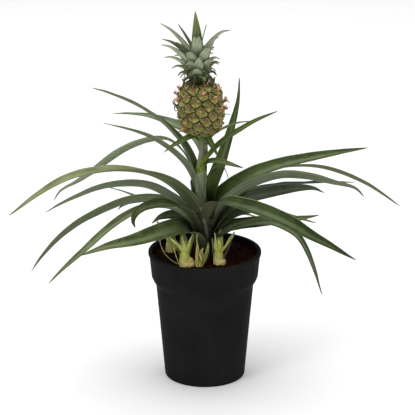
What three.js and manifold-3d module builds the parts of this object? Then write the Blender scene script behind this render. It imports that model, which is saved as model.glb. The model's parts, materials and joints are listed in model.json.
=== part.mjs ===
// Potted pineapple plant: a rosette of long gutter-shaped leaves on a short stem, one small fruit
// with its crown, and young side shoots at the soil, in a plain black nursery pot.
// Millimetres, +Z up. The origin is the middle of the pot's foot, and +Y points away from the viewer.
import * as THREE from 'three';
import { mergeVertices } from 'three/addons/utils/BufferGeometryUtils.js';
import Module from 'manifold-3d';

const wasm = await Module();
wasm.setup();

// Clearances and thicknesses
const gap = 0.3;
const leafClearance = 0.35;
const leafThickness = 0.8;
const crownLeafThickness = 0.9;

// Pot
const potHeight = 140;
const rimRadius = 60;
const rimWidth = 4.6;
const collarTopRadius = 58.8;
const collarFootRadius = 56.7;
const collarFootHeight = 111.5;
const shoulderHeight = 101.3;
const shoulderRadius = 51.8;
const footRadius = 42.9;
const footRounding = 3;
const potWall = 1.6;
const potFloor = 2.2;
const potSides = 36;
const drainHoles = 6;
const drainHoleRadius = 4;
const drainCircleRadius = 29;

// Soil
const soilHeight = 134;
const soilUnevenness = 0.9;
const soilSides = 30;

// Stem and flower stalk: radius at each height above the floor
const stemProfile = [
  [8.0, 96],
  [9.0, 134],
  [9.6, 165],
  [9.2, 205],
  [8.4, 226],
  [6.4, 238],
  [5.4, 250],
  [6.2, 267.7],
];
const stemSides = 20;

// The stem bends a little to the left and back as it rises: sideways place of its axis at each height
const leanCourse = [
  [96, 0],
  [150, 0.8],
  [170, -1.5],
  [192, -5.6],
  [226, -6.2],
  [245, -2.8],
  [270, -3.2],
  [300, -3.9],
  [326, -6.2],
  [400, -9.0],
];

// Fruit: radius at each height, then its eyes
const fruitProfile = [
  [6.6, 268],
  [12.0, 270.2],
  [16.8, 274.8],
  [20.6, 281.5],
  [22.2, 289.5],
  [22.4, 298],
  [21.5, 306.5],
  [19.2, 314.5],
  [15.4, 321],
  [11.0, 324],
];
const fruitSides = 42;
const fruitRings = 16;
const eyeCount = 68;
const eyeBulge = 1.7;
const grooveDepth = 0.8;
const grooveReach = 2.6;
const goldenAngle = THREE.MathUtils.degToRad(137.508);
const eyeSpikeLength = 5.5;
const eyeSpikeRadius = 1.3;

// Crown: a short axis clothed in stiff leaves
const crownCoreProfile = [
  [9.4, 324.5],
  [10.6, 331],
  [9.8, 342],
  [8.0, 353],
  [5.8, 363],
  [3.0, 372],
];
const crownCoreSides = 10;
const crownRootDepth = 3;

// Each tier of crown leaves: heights of root and tip, reach from the axis, how far the blade bows up
// over the straight line from root to tip, width, and the azimuths of its leaves. Leaves at the sides
// are turned about their keels by up to the twist, which shows their waxy backs to the front.
const crownTiers = [
  { root: 327, tip: 322, reach: 17, bow: 4, width: 8, azimuths: [180, 232, 285, 338, 30] },
  { root: 330, tip: 331, reach: 22, bow: 5, width: 9, azimuths: [184, 207, 258, 311] },
  { root: 330, tip: 331, reach: 19, bow: 5, width: 9, azimuths: [2] },
  { root: 330, tip: 333, reach: 20, bow: 6, width: 12, azimuths: [286] },
  { root: 332, tip: 340, reach: 28, bow: 6, width: 10, azimuths: [190, 235] },
  { root: 332, tip: 340, reach: 23, bow: 6, width: 13, azimuths: [298, 264] },
  { root: 333, tip: 345, reach: 23, bow: 6, width: 10, azimuths: [342, 356] },
  { root: 335, tip: 351, reach: 35, bow: 6, width: 12, azimuths: [184] },
  { root: 336, tip: 349, reach: 27, bow: 7, width: 13, azimuths: [240] },
  { root: 336, tip: 352, reach: 24, bow: 7, width: 14, azimuths: [272] },
  { root: 335, tip: 349, reach: 28, bow: 6, width: 11, azimuths: [150, 88] },
  { root: 337, tip: 350, reach: 24, bow: 6, width: 12, azimuths: [318, 48] },
  { root: 339, tip: 351, reach: 25, bow: 6, width: 11, azimuths: [338] },
  { root: 340, tip: 366, reach: 38, bow: 6, width: 13, azimuths: [192] },
  { root: 341, tip: 361, reach: 31, bow: 8, width: 15, azimuths: [246] },
  { root: 340, tip: 360, reach: 34, bow: 8, width: 14, azimuths: [137] },
  { root: 343, tip: 359, reach: 21, bow: 5, width: 12, azimuths: [30] },
  { root: 344, tip: 365, reach: 31, bow: 8, width: 15, azimuths: [303] },
  { root: 346, tip: 370, reach: 36, bow: 5, width: 13, azimuths: [180] },
  { root: 347, tip: 377, reach: 30, bow: 6, width: 14, azimuths: [318] },
  { root: 348, tip: 364, reach: 33, bow: 6, width: 14, azimuths: [85] },
  { root: 350, tip: 378, reach: 35, bow: 8, width: 16, azimuths: [8] },
  { root: 351, tip: 385, reach: 38, bow: 5, width: 15, azimuths: [170] },
  { root: 351, tip: 379, reach: 34, bow: 10, width: 17, azimuths: [270] },
  { root: 357, tip: 384, reach: 21, bow: 1, width: 16, azimuths: [155] },
  { root: 359, tip: 384, reach: 12, bow: 2, width: 5, azimuths: [30] },
  { root: 358, tip: 398.4, reach: 1.6, bow: 0, width: 19, azimuths: [118] },
];
const crownTwist = 38;

// Long leaves. Azimuth is the way a leaf points: 0 to the right, 90 away, 180 to the left. The course
// of its keel is a list of reach from the stem's axis and height above the floor, root to tip.
// Roll turns the blade about its keel, at the root and at the tip; gutter is the half angle of its fold.
// Waist is how much narrower a leaf is at its root, and waist reach how far along that lasts; wrap is
// how much more it folds round the stem there, and a higher fullness keeps it wide further out.
const leaves = [
  {
    name: 'leaf_left_1', azimuth: 176, width: 18, gutter: 45, roll: [-20, 50],
    course: [[8, 210], [11, 231], [21, 254], [41, 278], [68, 297], [100, 311], [117, 316]],
  },
  {
    name: 'leaf_left_2', azimuth: 90, sweep: 40, width: 29, gutter: 38, roll: [0, -14], fullness: 1.3,
    course: [[8, 224], [14, 242], [36, 252], [69, 254.5], [92, 256], [120, 258], [144, 257], [158, 255.5]],
  },
  {
    name: 'leaf_left_3', azimuth: 190, width: 19, gutter: 42, roll: [10, -12],
    course: [[9, 202], [12, 220], [20, 236], [36, 253], [61, 270], [93, 282], [107, 286]],
  },
  {
    name: 'leaf_left_4', azimuth: 160, width: 20, gutter: 42, roll: [30, 50],
    course: [
      [8, 202], [13, 227], [25, 248], [42, 258.5], [62, 255], [91, 241.5], [133, 209], [149, 198],
      [161, 191], [169, 184], [174, 175],
    ],
  },
  {
    name: 'leaf_left_5', azimuth: 197, width: 37, gutter: 40, roll: [35, -24], waist: 0.4, fullness: 1.5,
    course: [
      [8, 168], [13, 189], [25, 206], [42, 221], [61, 231], [84, 237], [110, 239], [147, 234],
      [177, 220.5], [209, 200],
    ],
  },
  {
    name: 'leaf_left_6', azimuth: 182, width: 21, gutter: 42, roll: [40, 50], waist: 0.45,
    course: [
      [8, 168], [17, 186], [35, 199], [60, 212], [90, 214], [112, 210], [133, 202], [154, 192], [168, 184],
    ],
  },
  {
    name: 'leaf_left_7', azimuth: 172, width: 21, gutter: 42, roll: [35, 50], waist: 0.45,
    course: [
      [8, 160], [18, 180], [34, 192], [52, 195], [70, 193.5], [91, 187.5], [123, 171.5], [142, 159],
      [157, 146], [179, 121], [189, 106],
    ],
  },
  {
    name: 'leaf_left_8', azimuth: 156, width: 10, gutter: 40,
    course: [[8, 170], [24, 182], [48, 188], [74, 188], [98, 193], [115, 195]],
  },
  {
    name: 'leaf_left_9', azimuth: 148, width: 14, gutter: 40, roll: [30, 40],
    course: [[8, 156], [24, 171], [45, 180], [69, 183], [91, 179], [102, 176], [107, 172], [111, 165]],
  },
  {
    name: 'leaf_left_10', azimuth: 232, width: 32, gutter: 42, roll: [0, -25], waist: 0.6,
    waistReach: 0.3, wrap: 5, fullness: 3.6,
    course: [
      [8, 150], [13, 170], [23, 184], [42, 199.5], [66, 210], [90, 214.5], [106, 215.5], [117, 213],
      [121, 208], [117, 200],
    ],
  },
  {
    name: 'leaf_left_11', azimuth: 203, width: 21, gutter: 42, roll: [20, -28], waist: 0.4,
    course: [
      [8, 154], [16, 174], [36, 191], [62, 196.5], [86, 190.5], [109, 178], [139, 156], [161, 140],
      [175, 128],
    ],
  },
  {
    name: 'leaf_left_12', azimuth: 214, width: 34, gutter: 38, roll: [-10, -32], waist: 0.15, fullness: 1.2,
    course: [[8, 145], [12, 160], [20, 169], [37, 172.5], [59, 171.5], [88, 169], [120, 168.5], [152, 165]],
  },
  {
    name: 'leaf_right_1', azimuth: 55, width: 24, gutter: 40, roll: [0, 0], fullness: 1.1,
    course: [[8, 188], [14, 207], [25, 222], [40, 245], [52, 267], [62, 291], [64, 315]],
  },
  {
    name: 'leaf_right_2', azimuth: 15, width: 30, gutter: 42, roll: [0, 25],
    course: [[8, 176], [13, 194], [26, 206], [49, 218], [80, 227], [118, 233], [155, 237], [180, 239]],
  },
  {
    name: 'leaf_right_3', azimuth: 22, width: 19, gutter: 40, roll: [0, -40],
    course: [[8, 172], [20, 192], [45, 210], [80, 221], [115, 220], [146, 212], [190, 190], [232, 159]],
  },
  {
    name: 'leaf_right_4', azimuth: 5, width: 28, gutter: 42, roll: [-30, -50],
    course: [
      [8, 166], [17, 188], [34, 202], [55, 213], [81, 220], [108, 218], [136, 211], [160, 204], [170, 194],
    ],
  },
  {
    name: 'leaf_right_5', azimuth: 35, width: 15, gutter: 40, roll: [0, -45],
    course: [[8, 164], [30, 187], [60, 195.5], [91, 196], [128, 190.5], [172, 183.5], [205, 177]],
  },
  {
    name: 'leaf_right_6', azimuth: 18, width: 30, gutter: 36, roll: [0, 30],
    course: [[8, 158], [20, 179], [44, 191], [75, 196], [108, 198], [123, 196], [135, 190]],
  },
  {
    name: 'leaf_right_7', azimuth: -74, sweep: 49, width: 30, gutter: 42, roll: [0, 20],
    waist: 0.5, waistReach: 0.22, wrap: 15,
    course: [
      [7, 150], [6.5, 164], [7.5, 176], [12.5, 189], [22, 199], [36, 205], [57.5, 207], [77, 206],
      [94, 203], [113.5, 196], [130.5, 185], [150.5, 172], [171, 155.5],
    ],
  },
  {
    name: 'leaf_right_8', azimuth: 12, width: 22, gutter: 38, roll: [0, 10],
    course: [[8, 150], [20, 169], [40, 179], [66, 179], [98, 169.5], [123, 161]],
  },
  {
    name: 'leaf_right_9', azimuth: -8, width: 24, gutter: 38, roll: [0, 15],
    course: [[8, 141], [12, 153], [21, 161], [40, 167], [62, 170], [95, 176], [121, 185]],
  },
  {
    name: 'leaf_right_10', azimuth: -22, width: 16, gutter: 40, roll: [0, 25],
    course: [[8, 146], [20, 164], [45, 177], [75, 181], [103, 170], [114, 155], [124, 132], [132, 108]],
  },
  {
    name: 'leaf_back_1', azimuth: 95, width: 17, gutter: 42,
    course: [[8, 162], [14, 180], [34, 189], [60, 186], [90, 171], [120, 147], [140, 124]],
  },
  {
    name: 'leaf_back_2', azimuth: 65, width: 20, gutter: 42,
    course: [[8, 156], [16, 173], [40, 184], [75, 181], [110, 163], [140, 138]],
  },
  {
    name: 'leaf_back_3', azimuth: 112, width: 18, gutter: 42,
    course: [[8, 150], [18, 166], [45, 174], [75, 159], [95, 134], [104, 112]],
  },
  {
    name: 'leaf_back_4', azimuth: 172, width: 27, gutter: 34, roll: [0, -14],
    course: [[6, 153], [10, 171], [21, 179], [35, 180], [48, 176], [57, 168]],
  },
  {
    name: 'leaf_back_5', azimuth: 45, width: 18, gutter: 40,
    course: [[8, 146], [20, 160], [45, 168], [70, 162], [90, 150]],
  },
];
const leafSteps = 9;
const broadLeaf = 21;

// Short bracts on the flower stalk, in the same terms
const bracts = [
  {
    name: 'bract_1', azimuth: -70, sweep: 45, width: 12, gutter: 40, roll: [0, 12], fullness: 4,
    course: [[3.5, 224], [5, 233], [8, 240], [15, 251], [25, 261], [36, 271], [60, 288], [85, 305]],
  },
  {
    name: 'bract_2', azimuth: 25, width: 7, gutter: 30,
    course: [[2, 256], [9, 266], [25, 273], [40, 276], [62, 275]],
  },
  {
    name: 'bract_3', azimuth: -40, sweep: 25, width: 13, gutter: 35, roll: [0, 12],
    course: [[3, 223], [3.5, 230], [7, 236], [16, 239], [28, 239], [39, 237], [47, 235]],
  },
  {
    name: 'bract_4', azimuth: 10, width: 5, gutter: 30,
    course: [[2, 218], [10, 231], [19, 232], [23, 226], [25, 218]],
  },
  {
    name: 'bract_5', azimuth: -60, width: 8, gutter: 35,
    course: [[3, 250], [8, 262], [14, 258], [22, 251], [30, 244]],
  },
  {
    name: 'bract_6', azimuth: 200, width: 9, gutter: 35,
    course: [[3, 252], [10, 262], [20, 264], [32, 260], [44, 250]],
  },
  {
    name: 'bract_7', azimuth: 150, width: 5, gutter: 30,
    course: [[3, 256], [12, 264], [22, 268], [32, 266], [39, 261]],
  },
];
const bractSteps = 7;

// Young shoots that come up round the stem: the foot's place, the swollen base, and short blades.
// A blade's reach is measured from its own shoot's foot.
const shoots = [
  {
    name: 'shoot_left', foot: [-20.5, -30], radius: 6.2, height: 15,
    blades: [
      { azimuth: 235, sweep: -100, width: 14, course: [[3, 137], [6, 142], [9, 149], [14, 156], [22, 163]] },
      { azimuth: -50, sweep: 130, width: 13, course: [[3, 137], [5, 142], [7, 149], [10, 157], [16, 165]] },
      { azimuth: 98, width: 12, course: [[1, 137], [5, 145], [12, 152], [20, 158], [28, 163]] },
      { azimuth: 171, width: 2.4, course: [[3, 136], [12, 138], [21, 145], [26, 156], [27, 166]] },
    ],
  },
  {
    name: 'shoot_right', foot: [15.5, -24], radius: 5.6, height: 15,
    blades: [
      { azimuth: 225, sweep: -110, width: 12, course: [[3, 137], [5, 142], [7, 149], [9, 157], [14, 165]] },
      { azimuth: -60, sweep: 120, width: 12, course: [[3, 137], [6, 142], [10, 149], [16, 157], [24, 165]] },
      { azimuth: 84, width: 11, course: [[1, 137], [4, 146], [10, 154], [17, 160], [24, 164]] },
    ],
  },
  {
    name: 'shoot_front_dry', foot: [-6, -33], radius: 2.6, height: 8,
    blades: [
      { azimuth: 112, width: 5, course: [[0, 136], [3, 141], [3, 147], [7, 154], [14, 160]] },
      { azimuth: 35, width: 7, course: [[2, 137], [7, 141], [11, 149], [13, 158]] },
      { azimuth: 6, width: 4.5, course: [[1, 137], [4, 140], [6, 145], [5, 151]] },
    ],
  },
  {
    name: 'shoot_back_left', foot: [-36, 14], radius: 5.5, height: 18,
    blades: [
      { azimuth: 250, width: 9, course: [[2, 137], [4, 148], [6, 160], [8, 168]] },
      { azimuth: 60, width: 9, course: [[2, 137], [4, 149], [9, 157], [14, 164]] },
      { azimuth: 150, width: 8, course: [[2, 137], [5, 149], [12, 158], [19, 166]] },
    ],
  },
];
const shootRootDepth = 18;
const shootSides = 8;
const shootSteps = 3;

// Materials
const finish = (color, roughness) => new THREE.MeshStandardMaterial({ color, roughness, metalness: 0 });
const potBlack = finish('#1d1d1d', 0.45);
const soilBrown = finish('#2c140e', 0.95);
const stemGreen = finish('#7f8f63', 0.7);
const fruitOlive = finish('#8a8a3c', 0.65);
const crownGreen = finish('#7d9474', 0.6);
const leafGreen = finish('#4e6242', 0.5);
const bractGreen = finish('#6f8f3e', 0.55);
const shootPale = finish('#a9b46a', 0.6);
const dryStraw = finish('#b79a5c', 0.8);

// Value at a place along a list of [place, value] pairs, straight between them.
function between(pairs, place) {
  const next = pairs.findIndex(([p]) => p >= place);
  if (next === 0) return pairs[0][1];
  if (next < 0) return pairs[pairs.length - 1][1];
  const [p0, v0] = pairs[next - 1];
  const [p1, v1] = pairs[next];
  return v0 + ((v1 - v0) * (place - p0)) / (p1 - p0);
}

// Sideways place of the stalk's axis at a height, rounded into a smooth bow.
function leanAt(height) {
  const bow = 12;
  const below = between(leanCourse, height - bow);
  const above = between(leanCourse, height + bow);
  return (below + between(leanCourse, height) + above) / 3;
}

// A closed geometry as a solid, and a solid as a geometry.
function toSolid(geometry) {
  const bare = geometry.clone();
  bare.deleteAttribute('normal');
  bare.deleteAttribute('uv');
  const merged = mergeVertices(bare, 1e-4);
  return new wasm.Manifold(
    new wasm.Mesh({
      numProp: 3,
      vertProperties: new Float32Array(merged.attributes.position.array),
      triVerts: new Uint32Array(merged.index.array),
    }),
  );
}

function toGeometry(solid) {
  const mesh = solid.getMesh();
  const geometry = new THREE.BufferGeometry();
  const position = new Float32Array(mesh.numVert * 3);
  for (let i = 0; i < mesh.numVert; i += 1) {
    for (let axis = 0; axis < 3; axis += 1) {
      position[i * 3 + axis] = mesh.vertProperties[i * mesh.numProp + axis];
    }
  }
  geometry.setAttribute('position', new THREE.BufferAttribute(position, 3));
  geometry.setIndex(new THREE.BufferAttribute(new Uint32Array(mesh.triVerts), 1));
  geometry.computeVertexNormals();
  return geometry;
}

function joinAll(solids) {
  return solids.reduce((sum, next) => sum.add(next));
}

// Only the largest body is kept where a cut leaves loose scraps.
function largestBody(solid) {
  const bodies = solid.decompose();
  return bodies.reduce((best, body) => (body.volume() > best.volume() ? body : best));
}

// Turned solid from a list of [radius, height]; the lathe's own axis is stood up along Z.
function turned(profile, sides) {
  const points = profile.map(([radius, height]) => new THREE.Vector2(radius, height));
  const first = points[0];
  const last = points[points.length - 1];
  if (first.x > 0) points.unshift(new THREE.Vector2(0, first.y));
  if (last.x > 0) points.push(new THREE.Vector2(0, last.y));
  return new THREE.LatheGeometry(points, sides).rotateX(Math.PI / 2);
}

// Shifts a geometry built on the upright axis so that it stands on the leaning stalk.
function onStalk(geometry) {
  const position = geometry.attributes.position;
  for (let i = 0; i < position.count; i += 1) {
    position.setX(i, position.getX(i) + leanAt(position.getZ(i)));
  }
  return geometry;
}

function wider(profile, by) {
  return profile.map(([radius, height]) => [radius + by, height]);
}

// Two like sheets of points, one over the other, joined round their edges into one thin solid.
function sheetSolid(over, under) {
  const steps = over.length - 1;
  const across = over[0].length;
  const points = [...over.flat(), ...under.flat()];
  const top = (j, i) => j * across + i;
  const low = (j, i) => (steps + 1) * across + j * across + i;
  const faces = [];
  const quad = (a, b, c, d) => faces.push(a, b, c, a, c, d);
  for (let j = 0; j < steps; j += 1) {
    for (let i = 0; i < across - 1; i += 1) {
      quad(top(j, i), top(j + 1, i), top(j + 1, i + 1), top(j, i + 1));
      faces.push(low(j, i), low(j + 1, i + 1), low(j + 1, i), low(j, i), low(j, i + 1), low(j + 1, i + 1));
    }
    const far = across - 1;
    quad(top(j, 0), low(j, 0), low(j + 1, 0), top(j + 1, 0));
    quad(top(j, far), top(j + 1, far), low(j + 1, far), low(j, far));
  }
  for (let i = 0; i < across - 1; i += 1) {
    quad(top(0, i), top(0, i + 1), low(0, i + 1), low(0, i));
    quad(top(steps, i), low(steps, i), low(steps, i + 1), top(steps, i + 1));
  }
  const geometry = new THREE.BufferGeometry();
  const position = new Float32Array(points.flatMap((p) => [p.x, p.y, p.z]));
  geometry.setAttribute('position', new THREE.BufferAttribute(position, 3));
  geometry.setIndex(faces);
  return geometry;
}

// Share of the full width along a leaf: a clasping root, a slight waist, a full middle and a fine tip.
function leafTaper(along, { waist = 0.2, waistReach = 0.18, fullness = 2.1 }) {
  const rootFlare = 0.12 * Math.exp(-along * 12);
  const body = 1 - 0.97 * along ** fullness;
  const waistShare = 1 - waist * Math.exp(-((along / waistReach) ** 2));
  return (Math.max(body, 0.03) + rootFlare) * waistShare;
}

// A crown leaf is broad at the root and narrows evenly into its tip.
function crownTaper(along) {
  return Math.max(1 - 0.95 * along ** 1.6, 0.05);
}

// A shoot's blade stays broad for most of its short length.
function shootTaper(along) {
  return Math.max(1 - 0.9 * along ** 2.6, 0.1) + 0.2 * Math.exp(-along * 12);
}

// Half angle of the gutter along a leaf: wrapped round the stem at the root, open in the middle.
function gutterAngle(along, { gutter = 40, wrap = 40 }) {
  return THREE.MathUtils.degToRad(gutter + wrap * Math.exp(-along * 10));
}

// One blade: its middle follows the course in the upright plane at its azimuth, which may swing round
// by the row's sweep on the way to the tip, and its section is a gutter.
function blade(row, { steps, across, thickness, centre, grow, taper = leafTaper }) {
  const stations = row.course.map(([reach, height]) => new THREE.Vector3(reach, 0, height));
  const keel = new THREE.CatmullRomCurve3(stations, false, 'centripetal');
  const [rollRoot, rollTip] = row.roll ?? [0, 0];
  const placeAt = (along) => {
    const { x: reach, z: height } = keel.getPointAt(along);
    const heading = THREE.MathUtils.degToRad(row.azimuth + (row.sweep ?? 0) * along);
    const flat = new THREE.Vector3(Math.cos(heading), Math.sin(heading), 0).multiplyScalar(reach);
    return flat.add(new THREE.Vector3(centre[0], centre[1], height));
  };
  const over = [];
  const under = [];
  for (let j = 0; j <= steps; j += 1) {
    const along = j / steps;
    const middle = placeAt(along);
    const ahead = placeAt(Math.min(along + 0.01, 1));
    const behind = placeAt(Math.max(along - 0.01, 0));
    const tangent = ahead.sub(behind).normalize();
    if (j === 0) middle.addScaledVector(tangent, -grow);
    if (j === steps) middle.addScaledVector(tangent, grow);
    const heading = THREE.MathUtils.degToRad(row.azimuth + (row.sweep ?? 0) * along);
    const level = new THREE.Vector3(-Math.sin(heading), Math.cos(heading), 0);
    const face = new THREE.Vector3().crossVectors(tangent, level).normalize();
    const side = new THREE.Vector3().crossVectors(face, tangent);
    const roll = THREE.MathUtils.degToRad(rollRoot + (rollTip - rollRoot) * along);
    const acrossAxis = side.clone().multiplyScalar(Math.cos(roll)).addScaledVector(face, Math.sin(roll));
    const faceAxis = face.clone().multiplyScalar(Math.cos(roll)).addScaledVector(side, -Math.sin(roll));
    const width = row.width * taper(along, row) + 2 * grow;
    const halfAngle = gutterAngle(along, row);
    const radius = width / (2 * halfAngle);
    const sag = radius * (1 - Math.cos(halfAngle));
    const half = thickness / 2 + grow;
    over.push([]);
    under.push([]);
    for (let i = 0; i < across; i += 1) {
      const turn = halfAngle * ((2 * i) / (across - 1) - 1);
      const normal = faceAxis
        .clone()
        .multiplyScalar(Math.cos(turn))
        .addScaledVector(acrossAxis, -Math.sin(turn));
      const point = middle
        .clone()
        .addScaledVector(acrossAxis, radius * Math.sin(turn))
        .addScaledVector(faceAxis, radius * (1 - Math.cos(turn)) - sag * 0.3);
      over[j].push(point.clone().addScaledVector(normal, half));
      under[j].push(point.clone().addScaledVector(normal, -half));
    }
  }
  return sheetSolid(over, under);
}

// Pot: a tapered wall, a wider collar, a rolled rim and a flat foot with drain holes round its middle
function makePot() {
  const lipFoot = potHeight - 5;
  const profile = [
    [0, 0],
    [footRadius - footRounding * 0.6, 0],
    [footRadius - footRounding * 0.17, footRounding * 0.33],
    [footRadius, footRounding],
    [shoulderRadius, shoulderHeight],
    [shoulderRadius + 0.6, shoulderHeight + 3.2],
    [collarFootRadius - 1.8, collarFootHeight - 3.2],
    [collarFootRadius, collarFootHeight + 1],
    [collarTopRadius, lipFoot],
    [rimRadius, potHeight - 3],
    [rimRadius, potHeight - 1],
    [rimRadius - 1.2, potHeight],
    [rimRadius - rimWidth + 1, potHeight],
    [rimRadius - rimWidth, potHeight - 1],
    [collarTopRadius - potWall, lipFoot],
    [collarFootRadius - potWall, collarFootHeight],
    [shoulderRadius - potWall, shoulderHeight],
    [footRadius - potWall, potFloor],
    [0, potFloor],
  ];
  const shell = toSolid(turned(profile, potSides));
  const holes = [];
  for (let k = 0; k < drainHoles; k += 1) {
    const turn = (2 * Math.PI * k) / drainHoles;
    const drill = new THREE.CylinderGeometry(drainHoleRadius, drainHoleRadius, potFloor * 3, 6)
      .rotateX(Math.PI / 2)
      .translate(drainCircleRadius * Math.cos(turn), drainCircleRadius * Math.sin(turn), potFloor / 2);
    holes.push(toSolid(drill));
  }
  return shell.subtract(joinAll(holes));
}

// Soil: fills the pot to a little below the rim, with a crumbly top and a hole for each stem and shoot
function soilTop(x, y) {
  const waves = Math.sin(x * 0.31 + 1.3) * Math.cos(y * 0.27) + 0.6 * Math.sin(x * 0.13 - y * 0.19 + 2);
  return soilHeight + soilUnevenness * 0.5 * waves;
}

function makeSoil(roots) {
  const edge = collarTopRadius - potWall - gap;
  const profile = [
    [0, potFloor + gap],
    [footRadius - potWall - gap, potFloor + gap],
    [shoulderRadius - potWall - gap, shoulderHeight],
    [collarFootRadius - potWall - gap - 0.2, collarFootHeight],
    [edge - 0.4, soilHeight - 3],
    [edge - 1, soilHeight],
    [44, soilHeight],
    [31, soilHeight],
    [17, soilHeight],
    [0, soilHeight],
  ];
  const geometry = turned(profile, soilSides);
  const position = geometry.attributes.position;
  for (let i = 0; i < position.count; i += 1) {
    if (position.getZ(i) > soilHeight - 0.1) {
      position.setZ(i, soilTop(position.getX(i), position.getY(i)));
    }
  }
  return roots.reduce((soil, root) => soil.subtract(root), toSolid(geometry));
}

// Fruit: a barrel whose surface swells into eyes, set in a spiral so that each covers the same area
function fruitRadiusAt(height) {
  return between(fruitProfile.map(([radius, z]) => [z, radius]), height);
}

function fruitEyes() {
  const slices = 400;
  const bottom = fruitProfile[0][1];
  const top = fruitProfile[fruitProfile.length - 1][1];
  const slice = (top - bottom) / slices;
  const reached = [0];
  for (let i = 0; i < slices; i += 1) {
    const z = bottom + slice * i;
    const slant = Math.hypot(fruitRadiusAt(z + slice) - fruitRadiusAt(z), slice);
    reached.push(reached[i] + fruitRadiusAt(z) * slant);
  }
  const eyes = [];
  for (let k = 0; k < eyeCount; k += 1) {
    const share = ((k + 0.5) / eyeCount) * reached[slices];
    const height = bottom + slice * reached.findIndex((value) => value >= share);
    const radius = fruitRadiusAt(height);
    const turn = k * goldenAngle;
    eyes.push(new THREE.Vector3(radius * Math.cos(turn), radius * Math.sin(turn), height));
  }
  return eyes;
}

function makeFruit() {
  const eyes = fruitEyes();
  const stations = fruitProfile.map(([radius, height]) => new THREE.Vector3(radius, height, 0));
  const outline = new THREE.CatmullRomCurve3(stations, false, 'centripetal');
  const profile = outline.getSpacedPoints(fruitRings).map((p) => [p.x, p.y]);
  const geometry = turned(profile, fruitSides);
  const position = geometry.attributes.position;
  const point = new THREE.Vector3();
  for (let i = 0; i < position.count; i += 1) {
    point.fromBufferAttribute(position, i);
    const flat = Math.hypot(point.x, point.y);
    if (flat < fruitProfile[0][0] + 0.1) continue;
    const near = eyes.map((eye) => eye.distanceTo(point)).sort((a, b) => a - b);
    const toGroove = Math.min((near[1] - near[0]) / grooveReach, 1);
    const lift = toGroove * (eyeBulge + grooveDepth) - grooveDepth;
    point.x += (lift * point.x) / flat;
    point.y += (lift * point.y) / flat;
    position.setXYZ(i, point.x, point.y, point.z);
  }
  const spikes = eyes
    .filter((eye) => eye.z > fruitProfile[1][1] + 2 && eye.z < fruitProfile[fruitProfile.length - 2][1])
    .map((eye, k) => {
      const outward = new THREE.Vector3(eye.x, eye.y, 0).normalize();
      const direction = outward.clone().setZ(0.9 + 0.5 * Math.sin(k * 2.4)).normalize();
      const length = eyeSpikeLength * (0.85 + 0.3 * Math.sin(k * 1.7));
      const upright = new THREE.Vector3(0, 1, 0);
      const turnToDirection = new THREE.Quaternion().setFromUnitVectors(upright, direction);
      const spike = new THREE.ConeGeometry(eyeSpikeRadius, length, 3);
      spike.translate(0, length / 2 - 1.2, 0).applyQuaternion(turnToDirection);
      spike.translate(eye.x + outward.x * 0.6, eye.y + outward.y * 0.6, eye.z);
      return toSolid(onStalk(spike));
    });
  return joinAll([toSolid(onStalk(geometry)), ...spikes]);
}

// Crown: stiff leaves in tiers, each rooted well inside the short axis
function crownCourse(tier) {
  const core = between(crownCoreProfile.map(([radius, z]) => [z, radius]), tier.root);
  const start = Math.max(Math.min(core, tier.reach) - crownRootDepth, 0.5);
  const bowed = (share) => [
    start + (tier.reach - start) * share,
    tier.root + (tier.tip - tier.root) * share + tier.bow * 4 * share * (1 - share),
  ];
  return [bowed(0), bowed(0.33), bowed(0.7), bowed(1)];
}

function makeCrown() {
  const solids = [toSolid(onStalk(turned(crownCoreProfile, crownCoreSides)))];
  const options = { across: 3, thickness: crownLeafThickness, centre: [0, 0], grow: 0, taper: crownTaper };
  crownTiers.forEach((tier) => {
    tier.azimuths.forEach((azimuth) => {
      const twist = -crownTwist * Math.cos(THREE.MathUtils.degToRad(azimuth));
      const row = { azimuth, width: tier.width, roll: [twist, twist], course: crownCourse(tier) };
      const steps = tier.reach < 36 ? 3 : 4;
      solids.push(toSolid(onStalk(blade(row, { ...options, steps }))));
    });
  });
  return largestBody(joinAll(solids));
}

// Young shoots: a swollen base that goes down into the soil, and a few short blades
function shootBase(shoot, grow) {
  const { radius, height } = shoot;
  const profile = [
    [radius * 0.6, soilHeight - shootRootDepth],
    [radius * 0.9, soilHeight - 6],
    [radius, soilHeight + height * 0.15],
    [radius * 0.68, soilHeight + height * 0.6],
    [radius * 0.2, soilHeight + height],
  ];
  const [x, y] = shoot.foot;
  return toSolid(turned(wider(profile, grow), shootSides).translate(x, y, 0));
}

function makeShoot(shoot, grow) {
  const options = {
    steps: shootSteps, across: 3, thickness: leafThickness + 0.2, centre: shoot.foot, grow,
    taper: shootTaper,
  };
  const blades = shoot.blades.map((row) => toSolid(blade({ gutter: 35, ...row }, options)));
  return joinAll([shootBase(shoot, grow), ...blades]);
}

// Leaves grow round one stem, so each is cut back where it would run through a neighbour.
const grownStem = toSolid(onStalk(turned(wider(stemProfile, gap), stemSides)));
const fruit = makeFruit();
const crown = makeCrown();
const taken = [
  { cutter: grownStem, box: grownStem.boundingBox() },
  { cutter: fruit, box: fruit.boundingBox() },
];

function boxesMeet(a, b) {
  return [0, 1, 2].every((axis) => a.min[axis] <= b.max[axis] && b.min[axis] <= a.max[axis]);
}

function fitted(solid) {
  const box = solid.boundingBox();
  const neighbours = taken.filter((other) => boxesMeet(box, other.box));
  return largestBody(neighbours.reduce((rest, other) => rest.subtract(other.cutter), solid));
}

function take(cutter) {
  taken.push({ cutter, box: cutter.boundingBox() });
}

const group = new THREE.Group();
function addPiece(name, solid, material) {
  const mesh = new THREE.Mesh(toGeometry(solid), material);
  mesh.name = name;
  group.add(mesh);
}

addPiece('pot', makePot(), potBlack);
addPiece('stem', toSolid(onStalk(turned(stemProfile, stemSides))), stemGreen);
addPiece('fruit', fruit, fruitOlive);
addPiece('crown', crown, crownGreen);

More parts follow.
